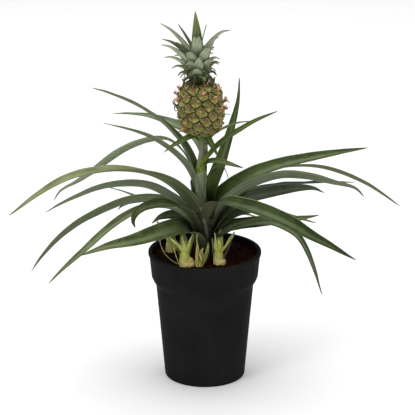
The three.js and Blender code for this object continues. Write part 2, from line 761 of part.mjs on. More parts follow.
function addBlades(rows, steps, material) {
  rows.forEach((row) => {
    const across = row.width > broadLeaf ? 4 : 3;
    const options = { steps, across, thickness: leafThickness, centre: [0, 0] };
    addPiece(row.name, fitted(toSolid(blade(row, { ...options, grow: 0 }))), material);
    take(toSolid(blade(row, { ...options, grow: leafClearance })));
  });
}
addBlades(leaves, leafSteps, leafGreen);
addBlades(bracts, bractSteps, bractGreen);

shoots.forEach((shoot) => {
  const material = shoot.name.endsWith('dry') ? dryStraw : shootPale;
  addPiece(shoot.name, fitted(makeShoot(shoot, 0)), material);
  take(makeShoot(shoot, gap));
});
const roots = [grownStem, ...shoots.map((shoot) => shootBase(shoot, gap))];
addPiece('soil', makeSoil(roots), soilBrown);

export default group;
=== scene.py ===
# Potted pineapple plant: the looks of its pot, soil, stem, fruit, crown, leaves and young shoots.
# Tables are in millimetres, as the solids are; meshes are in metres. Azimuth 0 points right, 90 away.
# A colour is written as it is seen on screen, 0 to 255.
import math
import random

import bmesh
import bpy
import numpy as np
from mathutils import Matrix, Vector
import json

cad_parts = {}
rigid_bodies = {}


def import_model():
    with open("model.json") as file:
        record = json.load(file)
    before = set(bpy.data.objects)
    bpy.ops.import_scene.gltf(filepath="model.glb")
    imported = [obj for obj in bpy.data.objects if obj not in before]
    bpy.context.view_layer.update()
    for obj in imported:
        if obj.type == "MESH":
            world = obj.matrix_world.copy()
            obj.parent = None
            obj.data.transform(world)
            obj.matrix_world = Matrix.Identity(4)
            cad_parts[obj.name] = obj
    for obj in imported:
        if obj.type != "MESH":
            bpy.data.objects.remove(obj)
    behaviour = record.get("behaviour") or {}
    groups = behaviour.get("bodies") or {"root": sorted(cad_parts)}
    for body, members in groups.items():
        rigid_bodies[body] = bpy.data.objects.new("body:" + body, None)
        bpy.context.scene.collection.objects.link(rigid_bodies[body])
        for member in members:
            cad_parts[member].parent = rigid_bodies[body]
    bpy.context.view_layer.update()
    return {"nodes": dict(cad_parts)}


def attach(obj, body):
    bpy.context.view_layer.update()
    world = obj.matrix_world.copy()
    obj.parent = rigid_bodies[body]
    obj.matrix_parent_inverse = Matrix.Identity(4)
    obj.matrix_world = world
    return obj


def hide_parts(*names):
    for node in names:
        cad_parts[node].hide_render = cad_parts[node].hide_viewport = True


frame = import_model()
print("frame:", len(frame["nodes"]), "nodes")

mm = 0.001


# Node trees

def paint(red, green, blue):  # a screen colour as the light values that shaders want
    def lit(value):
        value = value / 255
        return value / 12.92 if value <= 0.04045 else ((value + 0.055) / 1.055) ** 2.4
    return (lit(red), lit(green), lit(blue), 1.0)


class Flow:
    # what comes out of a node; arithmetic on it adds the nodes that work the result out
    def __init__(self, nodes, socket, isNumber=None):
        self.nodes, self.socket = nodes, socket
        self.isNumber = socket.type not in ("VECTOR", "RGBA") if isNumber is None else isNumber

    def math(self, operation, *others):
        kind = "ShaderNodeMath" if self.isNumber else "ShaderNodeVectorMath"
        return self.nodes.add(kind, [self, *others], operation=operation)

    def __add__(self, other):
        return self.math("ADD", other)

    def __sub__(self, other):
        return self.math("SUBTRACT", other)

    def __rsub__(self, first):
        return self.nodes.add("ShaderNodeMath", [first, self], operation="SUBTRACT")

    def __mul__(self, other):
        if self.isNumber:
            return self.math("MULTIPLY", other)
        return self.nodes.add("ShaderNodeVectorMath", {0: self, "Scale": other}, operation="SCALE")

    def __truediv__(self, other):
        return self.math("DIVIDE", other)

    def __pow__(self, other):
        return self.math("POWER", other)

    def __abs__(self):
        return self.math("ABSOLUTE")

    def split(self):
        node = self.nodes.node("ShaderNodeSeparateXYZ", [self])
        return [Flow(self.nodes, socket) for socket in node.outputs]

    def stretched(self, *size):
        return self.nodes.add("ShaderNodeMapping", {"Vector": self, "Scale": size})

    def ramp(self, stops, kind="LINEAR", isNumber=False):
        node = self.nodes.node("ShaderNodeValToRGB", [self])
        node.color_ramp.interpolation = kind
        elements = node.color_ramp.elements
        while len(elements) < len(stops):
            elements.new(1.0)
        for element, (place, shown) in zip(elements, stops):
            element.position = place
            element.color = (shown, shown, shown, 1) if isNumber else paint(*shown)
        return Flow(self.nodes, node.outputs["Color"], isNumber)

    def fade(self, none, full, share=1, kind="LINEAR"):  # 0 where the flow is none, share where it is full
        return self.ramp(sorted([(none, 0), (full, share)]), kind, True)

    def toward(self, other, share):
        return self.nodes.mix(share, self, other)


class Nodes:
    # a node tree, with the ways in which nodes are added to it
    def __init__(self, tree):
        self.tree = tree

    def fill(self, node, inputs):
        for key, value in inputs.items() if isinstance(inputs, dict) else enumerate(inputs):
            socket = node.inputs[key]
            if isinstance(value, Flow):
                self.tree.links.new(value.socket, socket)
            elif value is not None:
                socket.default_value = paint(*value) if socket.type == "RGBA" else value

    def node(self, kind, inputs=(), **settings):
        node = self.tree.nodes.new(kind)
        for key, value in settings.items():
            setattr(node, key, value)
        self.fill(node, inputs)
        return node

    def add(self, kind, inputs=(), output=0, **settings):
        return Flow(self, self.node(kind, inputs, **settings).outputs[output])

    def outs(self, kind, inputs=(), **settings):
        return {socket.name: Flow(self, socket) for socket in self.node(kind, inputs, **settings).outputs}

    def vector(self, *parts):
        return self.add("ShaderNodeCombineXYZ", parts)

    def noise(self, where, scale, detail=3.0, roughness=0.55):
        return self.add("ShaderNodeTexNoise", {"Vector": where, "Scale": scale, "Detail": detail,
                                               "Roughness": roughness}, "Fac", normalize=True)

    def mix(self, share, first, second):
        return self.add("ShaderNodeMix", {0: share, 6: first, 7: second}, 2, data_type="RGBA")

    def place(self):
        return self.add("ShaderNodeTexCoord", output="Object")

    def read(self, label):
        return self.add("ShaderNodeAttribute", output="Fac", attribute_name=label)

    def store(self, geometry, label, value, **settings):
        return self.add("GeometryNodeStoreNamedAttribute", {
            "Geometry": geometry, "Name": label, "Value": value}, **settings)

    def random(self, low, high, seed):
        return self.add("FunctionNodeRandomValue", {2: low, 3: high, "Seed": seed}, 1, data_type="FLOAT")

    def shapes(self, collection):
        return self.add("GeometryNodeCollectionInfo", {"Collection": collection, "Separate Children": True,
                                                       "Reset Children": True})

    def finish(self, colour, roughness, gloss, relief, depth, strength):
        normal = self.add("ShaderNodeBump", {"Height": relief, "Distance": depth, "Strength": strength})
        self.fill(self.tree.nodes["Principled BSDF"], {
            "Base Color": colour, "Roughness": roughness, "Specular IOR Level": gloss, "Normal": normal})
        return self.material


def newMaterial(name):
    material = bpy.data.materials.new(name)
    material.use_nodes = True
    n = Nodes(material.node_tree)
    n.material = material
    return n


def newTree(name, sockets):
    tree = bpy.data.node_groups.new(name, "GeometryNodeTree")
    tree.interface.new_socket("Geometry", in_out="INPUT", socket_type="NodeSocketGeometry")
    for kind, labels in sockets.items():
        for label in labels:
            tree.interface.new_socket(label, in_out="INPUT", socket_type="NodeSocket" + kind)
    tree.interface.new_socket("Geometry", in_out="OUTPUT", socket_type="NodeSocketGeometry")
    n = Nodes(tree)
    return n, n.outs("NodeGroupInput")


def closeTree(n, geometry, material):
    real = n.add("GeometryNodeRealizeInstances", [geometry])
    dressed = n.add("GeometryNodeSetMaterial", {"Geometry": real, "Material": material})
    n.node("NodeGroupOutput", [dressed])
    return n.tree


def newObject(name, data):
    made = bpy.data.objects.new(name, data)
    bpy.context.scene.collection.objects.link(made)
    return made


def plainMesh(holder):  # the holder as its modifiers shape it; the holder itself goes
    mesh = bpy.data.meshes.new_from_object(holder.evaluated_get(bpy.context.evaluated_depsgraph_get()))
    bpy.data.objects.remove(holder)
    return mesh


def grown(startMesh, tree, settings):  # what the tree makes of the start mesh
    holder = newObject("holder", startMesh)
    modifier = holder.modifiers.new("grow", "NODES")
    modifier.node_group = tree
    for item in tree.interface.items_tree:
        if item.item_type == "SOCKET" and item.in_out == "INPUT" and item.name in settings:
            modifier[item.identifier] = settings[item.name]
    return plainMesh(holder)


# Meshes and pieces

def meshFrom(name, points, faces, edges=()):
    mesh = bpy.data.meshes.new(name)
    mesh.from_pydata([tuple(p) for p in points], edges, faces)
    mesh.update()
    return mesh


def smooth(mesh, material=None):
    mesh.polygons.foreach_set("use_smooth", [True] * len(mesh.polygons))
    if material:
        mesh.materials.append(material)
    return mesh


def joined(meshes):  # several meshes as one, with their materials and attributes
    holders = [newObject("joining", mesh) for mesh in meshes]
    with bpy.context.temp_override(active_object=holders[0], object=holders[0],
                                   selected_objects=holders, selected_editable_objects=holders):
        bpy.ops.object.join()
    mesh = holders[0].data
    bpy.data.objects.remove(holders[0])
    return mesh


def addPiece(name, mesh, slotName, *nodes):
    mesh.name = name
    piece = newObject(name, mesh)
    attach(piece, "root")
    if nodes:
        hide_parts(*nodes)


def shapeGroup(name, meshes):  # the shapes that a tree picks from for its points
    group = bpy.data.collections.new(name)
    for mesh in meshes:
        group.objects.link(bpy.data.objects.new(mesh.name, mesh))
    return group


def dropGroup(group):
    for shape in list(group.objects):
        bpy.data.objects.remove(shape)
    bpy.data.collections.remove(group)


def between(pairs, place):
    return float(np.interp(place, [p for p, _ in pairs], [v for _, v in pairs]))


def step(distance, blur):  # 1 below the edge and 0 above it
    return 1 / (1 + math.exp(distance / blur))


def turnedMesh(name, profile, sides, centre=(0, 0), lean=False):
    # closed turned shape; the profile runs from the bottom of the axis, out, up and back to the axis
    points, rings = [], []
    for radius, height in profile:
        shift = leanAt(height) if lean else 0
        ring = []
        for k in range(1 if radius == 0 else sides):
            turn = 2 * math.pi * k / sides
            ring.append(len(points))
            points.append(((centre[0] + shift + radius * math.cos(turn)) * mm,
                           (centre[1] + radius * math.sin(turn)) * mm, height * mm))
        rings.append(ring)
    faces = []
    for low, high in zip(rings, rings[1:]):
        for k in range(sides):
            following = (k + 1) % sides
            if len(low) == 1:
                faces.append((low[0], high[following], high[k]))
            elif len(high) == 1:
                faces.append((low[k], low[following], high[0]))
            else:
                faces.append((low[k], low[following], high[following], high[k]))
    return meshFrom(name, points, faces)


def rounded(points, radius, steps=4):  # the profile's inner corners as small arcs
    out = [points[0]]
    for before, corner, after in zip(points, points[1:], points[2:]):
        a, b, c = Vector(before), Vector(corner), Vector(after)
        reach = min(radius, (a - b).length * 0.45, (c - b).length * 0.45)
        start = b + (a - b).normalized() * reach
        end = b + (c - b).normalized() * reach
        for k in range(steps + 1):
            t = k / steps
            out.append(tuple(start * (1 - t) ** 2 + b * 2 * t * (1 - t) + end * t ** 2))
    out.append(points[-1])
    return out


# The stalk's lean, shared by stem, fruit and crown

leanCourse = [(96, 0), (150, 0.8), (170, -1.5), (192, -5.6), (226, -6.2), (245, -2.8),
              (270, -3.2), (300, -3.9), (326, -6.2), (400, -9.0)]
leanBow = 12


def leanAt(height):
    return sum(between(leanCourse, height + offset) for offset in (-leanBow, 0, leanBow)) / 3


# Leaf materials: upper side, lined underside, margins, a painted sheen along the keel, the root with painted
# shade on the darker tones, dry tip, and each blade's brightness, partly painted light and shade, from the
# blade's own map

def leafMaterial(name, tone):
    n = newMaterial(name)
    uv = n.add("ShaderNodeUVMap", uv_map="leafUv")
    along, across, _ = uv.split()
    under = n.read("underside")
    fineLines = n.noise(uv.stretched(2.5, tone["lines"], 1), 1.0, 2.0, 0.6)
    broadLines = n.noise(uv.stretched(1.4, tone["lines"] * 0.25, 1), 1.0, 2.0, 0.5)
    bands = n.noise(uv.stretched(16, 1.5, 1), 1.0, 2.0, 0.5)
    cloud = (broadLines * 0.45 + n.noise(n.place(), 38, 4.0, 0.6) * 0.55).fade(0.4, 0.62)
    fine = fineLines.fade(0.38, 0.62)
    edge = abs(across - 0.5)
    # the keel band is a painted sheen: a paler streak along the middle of the upper side, over the middle of
    # the blade's length
    keelBand = (edge + (bands * 0.3 - 0.15)).fade(0.26, 0.02, 1, "EASE")
    keelReach = along.ramp([(0.16, 0), (0.42, 1), (0.75, 1), (0.95, 0.2)], "EASE", True)
    upper = n.mix(cloud, tone["upper"], tone["upperLight"]).toward(tone["upperLight"], fine * 0.3)
    upper = upper.toward(tone["keel"], keelBand * keelReach * tone["keelShare"])
    lower = n.mix(fine, tone["under"], tone["underLight"]).toward(tone["under"], cloud * 0.35)
    colour = n.mix(under, upper, lower).toward(tone["underLight"], bands.fade(0.55, 0.75, tone["scurf"]))
    colour = colour.toward(tone["upper"], edge.fade(tone["bandStart"], tone["bandStart"] + 0.1, tone["band"]))
    margin = edge.fade(0.462, 0.488, tone["margin"]) * along.ramp([(0.08, 0.25), (0.3, 1)], isNumber=True)
    colour = colour.toward(tone["marginColour"], margin)
    # the root colour: painted shade where the tone's root is darker, the root's own tint where it is paler
    colour = colour.toward(tone["base"], along.fade(tone["baseEnd"], 0.02, tone["baseShare"], "EASE"))
    colour = colour.toward((84, 66, 40), along.fade(0.95, 0.99, tone["dryTip"]))
    roughness = under * 0.12 + (fineLines * 0.2 + tone["roughness"])
    # leafShade scales each blade's whole colour: partly its own tone, partly painted light and shade
    return n.finish(colour * n.read("leafShade"), roughness, tone["gloss"],
                    relief=fineLines + broadLines * 2.2, depth=0.0005, strength=0.7)


# each side has a colour and a lighter one in its lines and clouds; band is the darker strip beside the
# margins, scurf the pale cross bands and keel a painted sheen along the middle; the root colour is painted
# shade on the leaf and crown tones and the root's own paler tint on bract, shoot and dry tones; their
# shares run from 0 to 1
leafTones = {"plain": dict(
    upper=(44, 58, 22), upperLight=(98, 108, 70), under=(82, 90, 62), underLight=(126, 136, 104),
    margin=0.6, marginColour=(150, 158, 118), band=0.0, bandStart=0.36, scurf=0.2,
    base=(34, 38, 22), baseEnd=0.2, baseShare=0.8, dryTip=0.6, lines=40.0, roughness=0.36, gloss=0.14,
    keel=(136, 150, 112), keelShare=0.4)}


def addTone(name, start, **changes):
    leafTones[name] = {**leafTones[start], **changes}


addTone("deep", "plain", upper=(34, 48, 22), upperLight=(76, 88, 56),
        under=(52, 60, 40), underLight=(90, 98, 72))
addTone("olive", "plain", upper=(92, 100, 58), upperLight=(138, 146, 104),
        under=(76, 84, 54), underLight=(124, 132, 96), baseShare=0.45)
addTone("greyed", "plain", upper=(62, 78, 46), upperLight=(106, 118, 90),
        under=(88, 97, 73), underLight=(134, 144, 117), scurf=0.3)
addTone("fresh", "plain", upper=(42, 58, 12), upperLight=(82, 96, 46),
        under=(66, 72, 44), underLight=(104, 110, 78),
        margin=0.7, marginColour=(156, 166, 116), base=(20, 22, 10), baseShare=0.9)
addTone("rich", "fresh", upper=(22, 36, 4), upperLight=(54, 70, 22),
        under=(60, 64, 42), underLight=(96, 98, 74), keelShare=0.26)
addTone("brown", "plain", upper=(52, 46, 32), upperLight=(84, 76, 58),
        under=(56, 50, 38), underLight=(92, 84, 66), margin=0.2)
addTone("bract", "plain", upper=(46, 68, 14), upperLight=(88, 108, 44),
        under=(80, 98, 38), underLight=(120, 134, 72),
        base=(140, 154, 54), baseEnd=0.3, baseShare=0.75, lines=26.0)
addTone("crown", "plain", upper=(34, 46, 26), upperLight=(66, 80, 50),
        under=(146, 155, 122), underLight=(196, 203, 174),
        margin=0.2, marginColour=(150, 152, 112), band=0.8, scurf=0.1, keelShare=0.2,
        base=(50, 62, 32), baseEnd=0.4, baseShare=0.7, lines=20.0, roughness=0.42)
addTone("crownFresh", "crown", upper=(98, 116, 54), upperLight=(142, 154, 104),
        under=(106, 122, 72), underLight=(138, 152, 104), band=0.3)
addTone("crownShade", "crown", upper=(40, 54, 26), upperLight=(76, 90, 56),
        under=(84, 96, 64), underLight=(134, 144, 110), band=0.6)
addTone("crownLow", "crown", under=(102, 114, 72), underLight=(152, 162, 122), base=(92, 104, 52), dryTip=1.0)
addTone("crownDark", "crown", upper=(24, 34, 16), upperLight=(48, 62, 30),
        under=(44, 58, 26), underLight=(80, 96, 52), dryTip=1.0)
addTone("shoot", "plain", upper=(118, 134, 60), upperLight=(166, 178, 100),
        under=(142, 156, 68), underLight=(210, 213, 148),
        margin=0.5, marginColour=(214, 216, 168), base=(184, 188, 78), baseEnd=0.6, lines=9.0)
addTone("dry", "plain", upper=(168, 160, 80), upperLight=(216, 207, 138),
        under=(158, 147, 72), underLight=(220, 210, 144), margin=0.2,
        base=(198, 186, 102), baseEnd=0.5, baseShare=0.5, lines=12.0, roughness=0.6, gloss=0.15)
leafMaterials = {name: leafMaterial("leaf_" + name, tone) for name, tone in leafTones.items()}


# Other materials

def potMaterial():
    n = newMaterial("potPlastic")
    place = n.place()
    cloud = n.noise(place, 22, 4.0)
    speck = n.noise(place, 900, 2.0)
    streak = n.noise(place.stretched(160, 160, 7), 1.0)
    colour = n.mix(cloud.fade(0.35, 0.7), (26, 26, 26), (33, 33, 33))
    colour = colour.toward((48, 46, 43), streak.fade(0.52, 0.75, 0.12))  # dust
    n.fill(n.tree.nodes["Principled BSDF"], {"IOR": 1.1})
    return n.finish(colour, cloud * 0.2 + 0.42, gloss=0.12, relief=streak * 0.6 + speck, depth=0.00008,
                    strength=0.5)


def soilMaterial():
    n = newMaterial("soilPeat")
    place = n.place()
    coarse = n.noise(place, 260, 4.0, 0.7)
    fine = n.noise(place, 1400, 3.0, 0.7)
    colour = coarse.ramp([(0.3, (8, 3, 1)), (0.5, (34, 12, 6)), (0.72, (64, 28, 16))])
    colour = colour.toward((84, 52, 34), fine.fade(0.6, 0.75, 0.4))
    return n.finish(colour, 0.92, gloss=0.03, relief=coarse + fine, depth=0.0012, strength=0.9)


def stemMaterial():
    # a pale waxy sheath in front, dark sheaths round it whose darkness is painted shade deepening towards the
    # soil, and the striped stalk above with painted light on its left and painted shade on its right
    n = newMaterial("stemSheath")
    place = n.place()
    soilLevel, stalkLength = 0.134, 0.134
    rise = (place.split()[2] - soilLevel) / stalkLength
    lines = n.noise(place.stretched(800, 800, 14), 1.0, 3.0, 0.6)
    waxy = n.noise(place.stretched(260, 260, 70), 1.0, 3.0, 0.6)
    blotch = n.noise(place, 110, 4.0, 0.6)
    # the colour off the pale sheath is painted shade, darkest at the soil, and so is the stalk's right side;
    # the pale colour also darkens towards the soil in painted shade, and on the stalk's left it is painted
    # light
    shadedColour = rise.ramp([(0.0, (26, 20, 12)), (0.15, (30, 32, 18)), (0.6, (42, 50, 28)),
                      (0.74, (104, 118, 52)), (0.84, (112, 114, 84)), (1.0, (100, 112, 58))])
    light = rise.ramp([(0.1, (62, 66, 42)), (0.4, (80, 87, 60)), (0.68, (110, 116, 90)),
                       (0.74, (150, 162, 80)), (0.84, (172, 172, 146)), (1.0, (132, 142, 82))])
    light = light.toward((152, 158, 136), waxy.fade(0.48, 0.62, 0.55))
    colour = shadedColour.toward(light, n.read("paleSheath") * (lines.fade(0.4, 0.6) * 0.4 + 0.6))
    colour = colour.toward((62, 68, 40), blotch.fade(0.5, 0.7, 0.3))
    return n.finish(colour, lines * 0.2 + 0.42, gloss=0.3, relief=lines, depth=0.0006, strength=0.7)


def fruitMaterial():
    # each eye's own attributes say how far a point is from the groove, from the eye's heart and from its foot
    n = newMaterial("fruitRind")
    place = n.place()
    groove, heart, lift, tint = [n.read(label) for label in ("eyeGroove", "eyeHeart", "eyeLift", "eyeTint")]
    speck = n.noise(place, 800, 5.0, 0.75)
    patch = n.noise(place, 170, 4.0, 0.65)
    # wrinkles run out from the heart of each eye
    around = n.read("eyeWide").math("ARCTAN2", n.read("eyeHigh"))
    wrinkle = n.noise(n.vector(around * 3.2, tint * 40.0, groove * 0.8), 1.3, 4.0, 0.65)
    flesh = n.mix(tint, (122, 106, 74), (88, 92, 52))
    flesh = flesh.toward((178, 170, 80), (lift + (patch * 0.9 - 0.45)).fade(0.36, 0.74))
    flesh = flesh.toward((84, 92, 38), patch.fade(0.42, 0.62, 0.6))
    flesh = flesh.toward((62, 64, 28), wrinkle.fade(0.5, 0.38, 0.85))
    flesh = flesh.toward((196, 190, 124), wrinkle.fade(0.52, 0.62, 0.85))
    dry = n.mix(speck.fade(0.42, 0.58), (98, 70, 42), (192, 154, 112))
    flesh = flesh.toward(dry, heart.fade(0.1, 0.6, 0.7))
    flesh = flesh.toward((112, 70, 40), speck.fade(0.54, 0.68, 0.75))
    flesh = flesh.toward((166, 158, 96), speck.fade(0.42, 0.28, 0.5))
    # the grooves between the eyes go near black-green: partly the rind's own darker outline, partly painted
    # shade in the recesses
    grooveOutlineAndShade = groove + (patch * 0.8 - 0.4)
    colour = flesh.toward((26, 34, 14), grooveOutlineAndShade.fade(0.5, 0.05, 1, "EASE"))
    relief = patch * 2.0 + speck + wrinkle * 2.5
    return n.finish(colour, speck * 0.25 + 0.42, gloss=0.3, relief=relief, depth=0.001, strength=0.8)


def wispMaterial(name, pale, deep):
    n = newMaterial(name)
    colour = n.mix(n.noise(n.place(), 300).fade(0.35, 0.65), deep, pale)
    fibres = n.noise(n.place(), 1500, 2.0)
    return n.finish(colour, 0.75, gloss=0.25, relief=fibres, depth=0.0002, strength=0.6)


def bulbMaterial(name, low, high, line):
    n = newMaterial(name)
    place = n.place()
    bulbFoot, palingHeight = 0.132, 0.018
    lines = n.noise(place.stretched(700, 700, 30), 1.0)
    rise = (place.split()[2] - bulbFoot) / palingHeight
    colour = n.mix(rise.fade(0.1, 0.9), low, high).toward(line, lines.fade(0.5, 0.7, 0.55))
    return n.finish(colour, 0.5, gloss=0.35, relief=lines, depth=0.0005, strength=0.6)


potPlastic = potMaterial()
soilPeat = soilMaterial()
stemSheath = stemMaterial()
fruitRind = fruitMaterial()
wispOrange = wispMaterial("wispOrange", (230, 184, 146), (170, 108, 74))
bractBrown = wispMaterial("bractBrown", (150, 106, 66), (80, 58, 34))
bulbGreen = bulbMaterial("bulbGreen", (222, 204, 136), (176, 184, 72), (226, 222, 160))
bulbDry = bulbMaterial("bulbDry", (208, 188, 116), (190, 174, 88), (136, 104, 56))
print("materials:", len(bpy.data.materials))


# Blades: long leaves, bracts, crown leaves and shoot leaves all grow from one tree

bladeSockets = {
    "Int": ["Steps", "Across"],
    "Float": ["Width", "Thickness", "Gutter", "Wrap", "Roll Root", "Roll Tip", "Azimuth", "Sweep",
              "Narrowing", "Fullness", "Flare", "Waist", "Waist Reach", "Wave", "Seed", "Shade"],
    "Material": ["Material"],
}
# in degrees: gutter is half the curl across a blade and wrap what the root adds to it; roll turns it about
# its keel, at root and tip, and sweep turns its azimuth towards the tip; waist and fullness shape its outline
# shade scales a blade's colour: partly its own tone, partly painted light and shade
bladeDefaults = {"gutter": 40, "wrap": 40, "roll": (0, 0), "sweep": 0, "waistReach": 0.18, "seed": 0,
                 "shade": 1}
mergeDistance = 0.002 * mm
sharpAngle = 1.2  # in radians
flareFade, wrapFade = 12.0, 10.0  # how fast flare and wrap fade from the root
narrowest = 0.02  # of the full width, at the tip
sagShare = 0.3  # how much of the gutter's depth lies below the keel's line
ripples = 9.0  # waves along a margin
edgePower, endPower = 4.0, 30.0  # how late the thickness thins towards the margins and the ends


def makeBladeTree():
    n, given = newTree("blade", bladeSockets)
    path = n.add("GeometryNodeMeshToCurve", [given["Geometry"]])
    grid = n.outs("GeometryNodeMeshGrid", {"Size X": 1.0, "Size Y": 1.0, "Vertices X": given["Steps"],
                                           "Vertices Y": given["Across"]})
    sheet = n.store(grid["Mesh"], "leafUv", grid["UV Map"], data_type="FLOAT2", domain="CORNER")
    sheet = n.add("GeometryNodeTriangulate", [sheet])
    x, y, _ = n.add("GeometryNodeInputPosition").split()
    along, across = x + 0.5, y * 2.0
    # the keel and its two cross directions, turned by the roll
    sample = n.outs("GeometryNodeSampleCurve", {"Curves": path, "Factor": along}, mode="FACTOR")
    heading = given["Sweep"] * along + given["Azimuth"]
    level = n.vector(heading.math("SINE") * -1.0, heading.math("COSINE"))
    face = sample["Tangent"].math("CROSS_PRODUCT", level).math("NORMALIZE")
    side = face.math("CROSS_PRODUCT", sample["Tangent"])
    roll = (given["Roll Tip"] - given["Roll Root"]) * along + given["Roll Root"]
    cosRoll, sinRoll = roll.math("COSINE"), roll.math("SINE")
    acrossAxis = side * cosRoll + face * sinRoll
    faceAxis = face * cosRoll - side * sinRoll
    # the width narrows to the tip, flares at the root and may have a waist above it
    body = 1.0 - given["Narrowing"] * along ** given["Fullness"]
    flare = given["Flare"] * (along * -flareFade).math("EXPONENT")
    fromRoot = along / given["Waist Reach"]
    waist = 1.0 - given["Waist"] * (fromRoot * fromRoot * -1.0).math("EXPONENT")
    width = given["Width"] * (body.math("MAXIMUM", narrowest) + flare) * waist
    # the gutter is an arc that closes towards the root, with soft waves at its margins
    half = given["Gutter"] + given["Wrap"] * (along * -wrapFade).math("EXPONENT")
    radius = width / (half * 2.0)
    turn = half * across
    cosTurn, sinTurn = turn.math("COSINE"), turn.math("SINE")
    sag = radius * (1.0 - half.math("COSINE"))
    rise = radius * (1.0 - cosTurn) - sag * sagShare
    ripple = n.noise(n.vector(along * ripples, across, given["Seed"]), 1.0, 1.0) - 0.5
    wave = ripple * given["Wave"] * (across * across)
    middle = sample["Position"] + (acrossAxis * (radius * sinTurn) + faceAxis * (rise + wave))
    normal = faceAxis * cosTurn - acrossAxis * sinTurn
    # the two faces meet in a fine edge all round
    edgeFine = (1.0 - abs(across) ** edgePower).math("MAXIMUM", 0.0).math("SQRT")
    endFine = (1.0 - abs(along * 2.0 - 1.0) ** endPower).math("MAXIMUM", 0.0).math("SQRT")
    lift = normal * (given["Thickness"] * 0.5 * (edgeFine * endFine))
    upper = n.add("GeometryNodeSetPosition", {"Geometry": sheet, "Position": middle + lift})
    lower = n.add("GeometryNodeSetPosition", {"Geometry": sheet, "Position": middle - lift})
    lower = n.add("GeometryNodeFlipFaces", [lower])
    both = n.node("GeometryNodeJoinGeometry")
    for sheet, underside in ((lower, 1.0), (upper, 0.0)):
        for label, value in (("underside", underside), ("leafShade", given["Shade"])):
            sheet = n.store(sheet, label, value, data_type="FLOAT", domain="FACE")
        n.fill(both, [sheet])
    closed = n.add("GeometryNodeMergeByDistance", {"Geometry": Flow(n, both.outputs[0]),
                                                   "Distance": mergeDistance})
    soft = n.add("GeometryNodeSetShadeSmooth", [closed], domain="FACE")
    angle = n.outs("GeometryNodeInputMeshEdgeAngle")["Unsigned Angle"]
    creased = n.add("GeometryNodeSetShadeSmooth", {
        "Geometry": soft, "Selection": angle.math("GREATER_THAN", sharpAngle), "Shade Smooth": False},
        domain="EDGE")
    return closeTree(n, creased, given["Material"])


bladeTree = makeBladeTree()
coursePoints = 12  # between two stations of a course


def courseLine(course):
    # centripetal Catmull-Rom line through (reach, height) stations, as the solids have it
    p = np.array(course, float)
    p = np.vstack([2 * p[0] - p[1], p, 2 * p[-1] - p[-2]])
    line = []
    for a, b, c, d in zip(p, p[1:], p[2:], p[3:]):
        t0, t1, t2 = (max(np.linalg.norm(y - x) ** 0.5, 1e-4) for x, y in ((a, b), (b, c), (c, d)))
        start = ((b - a) / t0 - (c - a) / (t0 + t1) + (c - b) / t1) * t1
        end = ((c - b) / t1 - (d - b) / (t1 + t2) + (d - c) / t2) * t1
        for k in range(coursePoints):
            s = k / coursePoints
            line.append(b + start * s + (3 * (c - b) - 2 * start - end) * s ** 2
                        + (2 * (b - c) + start + end) * s ** 3)
    line.append(p[-2])
    return np.array(line)


def lengthsAlong(line):
    return np.concatenate([[0], np.cumsum(np.linalg.norm(np.diff(line, axis=0), axis=1))])


def growBlade(row, style, material, centre=(0, 0), lean=False):
    row = {**bladeDefaults, **style, **row}
    line = courseLine(row["course"])
    length = lengthsAlong(line)
    heading = np.radians(row["azimuth"] + row["sweep"] * length / length[-1])
    shift = np.array([leanAt(z) for z in line[:, 1]]) if lean else 0
    points = np.stack([centre[0] + shift + line[:, 0] * np.cos(heading),
                       centre[1] + line[:, 0] * np.sin(heading), line[:, 1]], 1) * mm
    path = meshFrom("path", points, [], [(k, k + 1) for k in range(len(points) - 1)])
    lengths = {"Width": row["width"], "Thickness": row["thickness"], "Wave": row["wave"]}
    angles = {"Gutter": row["gutter"], "Wrap": row["wrap"], "Roll Root": row["roll"][0],
              "Roll Tip": row["roll"][1], "Azimuth": row["azimuth"], "Sweep": row["sweep"]}
    shares = {"Narrowing": row["narrowing"], "Fullness": row["fullness"], "Flare": row["flare"],
              "Waist": row["waist"], "Waist Reach": row["waistReach"], "Seed": row["seed"],
              "Shade": row["shade"]}
    return grown(path, bladeTree, {
        "Steps": row["steps"] + 1, "Across": row["across"], "Material": material,
        **{label: value * mm for label, value in lengths.items()},
        **{label: math.radians(value) for label, value in angles.items()},
        **{label: float(value) for label, value in shares.items()}})


# Long leaves, each with its keel's course of reach and height

